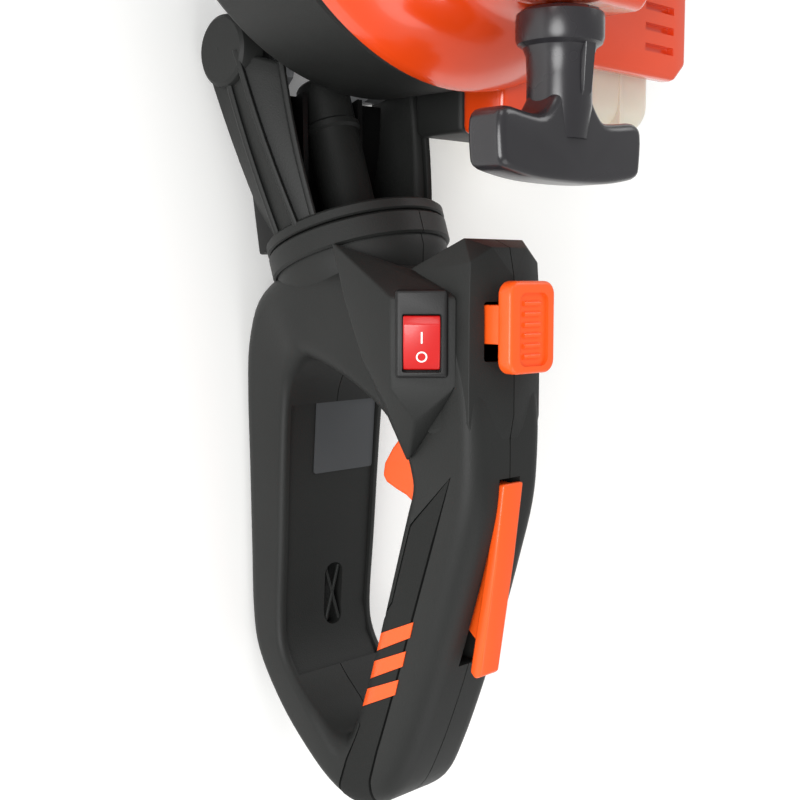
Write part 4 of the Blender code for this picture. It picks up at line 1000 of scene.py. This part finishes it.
# %% Starter grip
STARTER_LINE = (0, 0, 95)
grip_stem = spun("grip_stem", [(0, 71.3), (2.2, 71.3), (2.2, 70.2), (12.6, 70.2), (14, 69.0),
                               (14.2, 67.0), (14.2, 61.4), (13.6, 59.8), (11.8, 58.6),
                               (10.8, 56), (10.5, 50), (10.5, 40), (9, 30), (0, 30)],
                 STARTER_LINE, (1, 0, 0), 72)
bar_outline = curved([(36.6, 24), (36.8, 34), (33, 37.4), (24, 36.6), (16, 36.4), (11.5, 40),
                      (8, 44), (0, 45), (-8, 44), (-11.5, 40), (-16, 36.4), (-24, 36.6),
                      (-33, 37.4), (-36.8, 34), (-36.6, 24), (-35, 19.6), (-28, 17.8),
                      (-16, 16.4), (0, 16), (16, 16.4), (28, 17.8), (35, 19.6)], 3)
grip_bar = plate("grip_bar", bar_outline, 14.4,
                 Matrix.Translation(at(0, 0, 87.8)) @ Matrix(((0, 1, 0, 0), (1, 0, 0, 0),
                                                              (0, 0, 1, 0), (0, 0, 0, 1))))
only(grip_bar)
bpy.ops.object.mode_set(mode="EDIT")
bpy.ops.mesh.select_all(action="SELECT")
bpy.ops.mesh.normals_make_consistent(inside=False)
bpy.ops.object.mode_set(mode="OBJECT")
round_over(grip_bar, 3.0, 5, 50)
ridge = faceted("ridge", [(70, 2.6, 108.2), (70, -2.6, 108.2), (58, 2.6, 107.0),
                          (58, -2.6, 107.0), (44, 2.0, 106.2), (44, -2.0, 106.2),
                          (40, 1.4, 103.0), (40, -1.4, 103.0), (40, 2.0, 99), (40, -2.0, 99),
                          (70, 3, 99), (70, -3, 99)])
round_over(ridge, 0.8, 3, 30)
hand_over(grip_stem, "grip_stem", polished_nylon, "pull_grip", "starter_grip")
hand_over(grip_bar, "grip_bar", polished_nylon, "pull_grip")
hand_over(ridge, "grip_ridge", polished_nylon, "pull_grip")


# %% [markdown]
# The rope leaves the shroud through a raised boss.  The rope itself is one straight run of
# rings.

# %% Rope boss, intake cowl and starter rope
boss_block = faceted("rope_boss", [
    (72.4, 27, 87), (72.4, -27, 87), (72.4, 27, 107), (72.4, -27, 107), (75, 25, 110.5),
    (75, -25, 110.5), (104, 44, 80), (104, -44, 80), (104, 44, 112), (104, -44, 112)])
round_over(boss_block, 1.2, 3, 20)
cut(boss_block, drum("rope_hole", 3.2, (60, 0, 95), (90, 0, 95), 32),
    drum("inner_room", 74.6, (150, 0, 60), (150, 0, 109.5), 96))
hand_over(boss_block, "rope_boss", gloss_abs, "chassis")
cowl_edge = [(66, -52), (66, -126), (73, -134), (108, -134), (112, -129), (112, -68.5),
             (88, -68.5), (88, -52)]
cowl = plate("cowl", cowl_edge, 7.4, Matrix.Translation(at(0, 0, 49.6)))
round_over(cowl, 2.4, 4, 30)
for i in range(4):
    slot = block("slot", (76 + i * 8, -124, 54), (79 + i * 8, -104, 60))
    cut(cowl, slot)
hand_over(cowl, "intake_cowl", gloss_abs, "chassis")


def ring_of(centre, across, upward, radius, sides):
    """A circle of points round a centre, in millimetres."""
    points = []
    for i in range(sides):
        angle = 2 * math.pi * i / sides
        points.append(at(*(centre + across * (radius * math.cos(angle))
                           + upward * (radius * math.sin(angle)))))
    return points


side_way = Vector((0, 1, 0))
rope = sweep("rope", [ring_of(Vector((80 - 0.3 * i, 0, 95)), side_way, Vector((0, 0, 1)),
                              1.6, 16) for i in range(41)])
only(rope)
rope.name = "starter_rope_run"
rope.data.materials.append(braid)
bpy.ops.object.shade_smooth_by_angle(angle=math.radians(40))
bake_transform(rope)


# %% [markdown]
# ## Front handle and hand guard
# The front handle is a bent tube with a rubber sleeve where the hand closes.  A circle is
# swept along the bend.  The sleeve is a second sweep whose radius dips every few millimetres,
# which gives it its grooves.

# %% Front handle
half_route = [(247, 41, -6), (252, 80, -4), (258, 112, 8), (262, 128, 40), (264, 128, 84),
              (262, 120, 116), (260, 96, 138), (258, 50, 148)]
route = half_route + [(258, 0, 150)] + [(x, -y, z) for x, y, z in reversed(half_route)]
bend = curved(route, 10)[:10 * (len(route) - 1) + 1]
bend[0:10] = [list(Vector(route[0]).lerp(Vector(route[1]), i / 10)) for i in range(10)]
bend[-11:] = [list(Vector(route[-2]).lerp(Vector(route[-1]), i / 10)) for i in range(11)]


def along_bend(name, first, last, radius_of):
    rows = []
    for i in range(first, last + 1):
        run = (Vector(bend[min(i + 1, len(bend) - 1)]) - Vector(bend[max(i - 1, 0)])).normalized()
        forward = Vector((1, 0, 0))
        forward = (forward - run * forward.dot(run)).normalized()
        rows.append(ring_of(Vector(bend[i]), forward, run.cross(forward), radius_of(i), 32))
    return sweep(name, rows)


tube = along_bend("tube", 0, len(bend) - 1, lambda i: 11.5)
hand_over(tube, "front_handle_tube", nylon, "chassis", "front_handle", degrees=40)
sleeve = along_bend("sleeve", 58, 102, lambda i: 11.0 if i in (58, 102) else
                    (12.7 if i % 4 else 12.1))
hand_over(sleeve, "front_handle_sleeve", nitrile, "chassis", degrees=50)
for side, name in ((1, "left"), (-1, "right")):
    clamp = block("clamp", (204, min(side * 27, side * 50), -10.7),
                  (256, max(side * 27, side * 50), -0.4))
    round_over(clamp, 1.6, 3)
    for x in (212, 230):
        cut(clamp, drum("bore", 4.2, (x, side * 38, -3.4), (x, side * 38, 3), 32))
        screw = spun("screw", [(0, -2.6), (1.8, -2.6), (1.8, -1.2), (3.0, -1.2), (3.6, -1.8),
                               (3.6, -5), (0, -5)], (x, side * 38, 0), (0, 0, 1), 32)
        hand_over(screw, "handle_screw_%s_%d" % (name, x), zinc_steel, "chassis")
    hand_over(clamp, "handle_clamp_" + name, nylon, "chassis")


# %% Hand guard
TO_FRONT = Matrix(((0, 0, 1, 0), (1, 0, 0, 0), (0, 1, 0, 0), (0, 0, 0, 1)))
guard_edge = [(-110, -2), (-120, 10), (-126, 30), (-125, 62), (-120, 90), (-110, 108),
              (-92, 120), (92, 120), (110, 108), (120, 90), (125, 62), (126, 30), (120, 10),
              (110, -2), (60, -9), (-60, -9)]
guard = plate("guard", guard_edge, 3.2, Matrix.Translation(at(282.4, 0, 0)) @ TO_FRONT)
round_over(guard, 0.9, 3, 40)
hand_over(guard, "hand_guard_plate", black_nylon, "chassis", "hand_guard")
for i in range(9):
    y = -96 + i * 24
    rib = block("rib", (280.6, y - 1.1, 4), (283.4, y + 1.1, 108 if abs(y) > 80 else 114))
    round_over(rib, 0.5, 2)
    hand_over(rib, "guard_rib_%d" % (i + 1), black_nylon, "chassis")
guard_foot = block("guard_foot", (238, -22, -7.7), (284, 22, -3))
round_over(guard_foot, 0.9, 2)
hand_over(guard_foot, "guard_foot", black_nylon, "chassis")


# %% [markdown]
# ## Tank, cap and filter box
# The tank is blown in a two-part mould, so its corners are very round and a raised seam runs
# right round it.  Its cap is a disc with a scalloped grip.  The filter box has a dark base and
# an orange cover, which on the machine is held by one knob.

# %% Tank, cap and filter box
tank = block("tank", (46, -132, -24), (112, -80, 44))
round_over(tank, 11, 6)
seam = block("seam", (45.2, -107, -24.8), (112.8, -104.6, 44.8))
round_over(seam, 0.5, 2)
fuse(tank, seam)
neck_of_tank = drum("tank_neck", 14, (76, -130, 12), (76, -136.8, 12), 64)
fuse(tank, neck_of_tank)
hand_over(tank, "tank_body", tank_pe, "chassis", "fuel_tank")
cap_rim = [((16.6 if k % 2 else 15.4) * math.cos(math.pi * k / 18),
            (16.6 if k % 2 else 15.4) * math.sin(math.pi * k / 18)) for k in range(36)]
cap = plate("cap", curved(cap_rim, 3), 7.4,
            frame_at((76, -137.4, 12), Vector((1, 0, 0)), Vector((0, 0, 1)),
                     Vector((0, -1, 0))))
round_over(cap, 0.8, 2, 50)
cut(cap, spun("cap_dish", [(0, -1.4), (11, -1.4), (11.8, 1), (0, 1)], (76, -144.8, 12),
              (0, -1, 0), 64))
hand_over(cap, "cap_body", black_nylon, "filler_cap", "fuel_cap")
grip_web = block("cap_grip", (66, -145, 10.4), (86, -142.6, 13.6))
round_over(grip_web, 0.6, 2)
hand_over(grip_web, "cap_grip", black_nylon, "filler_cap")
base = block("filter_base", (40, -75, 3), (94.5, -28, 27.7))
round_over(base, 2.4, 4)
hand_over(base, "filter_base", nylon, "chassis", "air_filter_base")
cover = block("filter_cover", (39, -76, 28), (94.5, -27, 48.8))
round_over(cover, 3.2, 5)
for k in range(3):
    cut(cover, block("louvre", (36, -66 + 11 * k, 33), (41, -60 + 11 * k, 43)))
hand_over(cover, "filter_cover", gloss_abs, "chassis", "air_filter_cover")
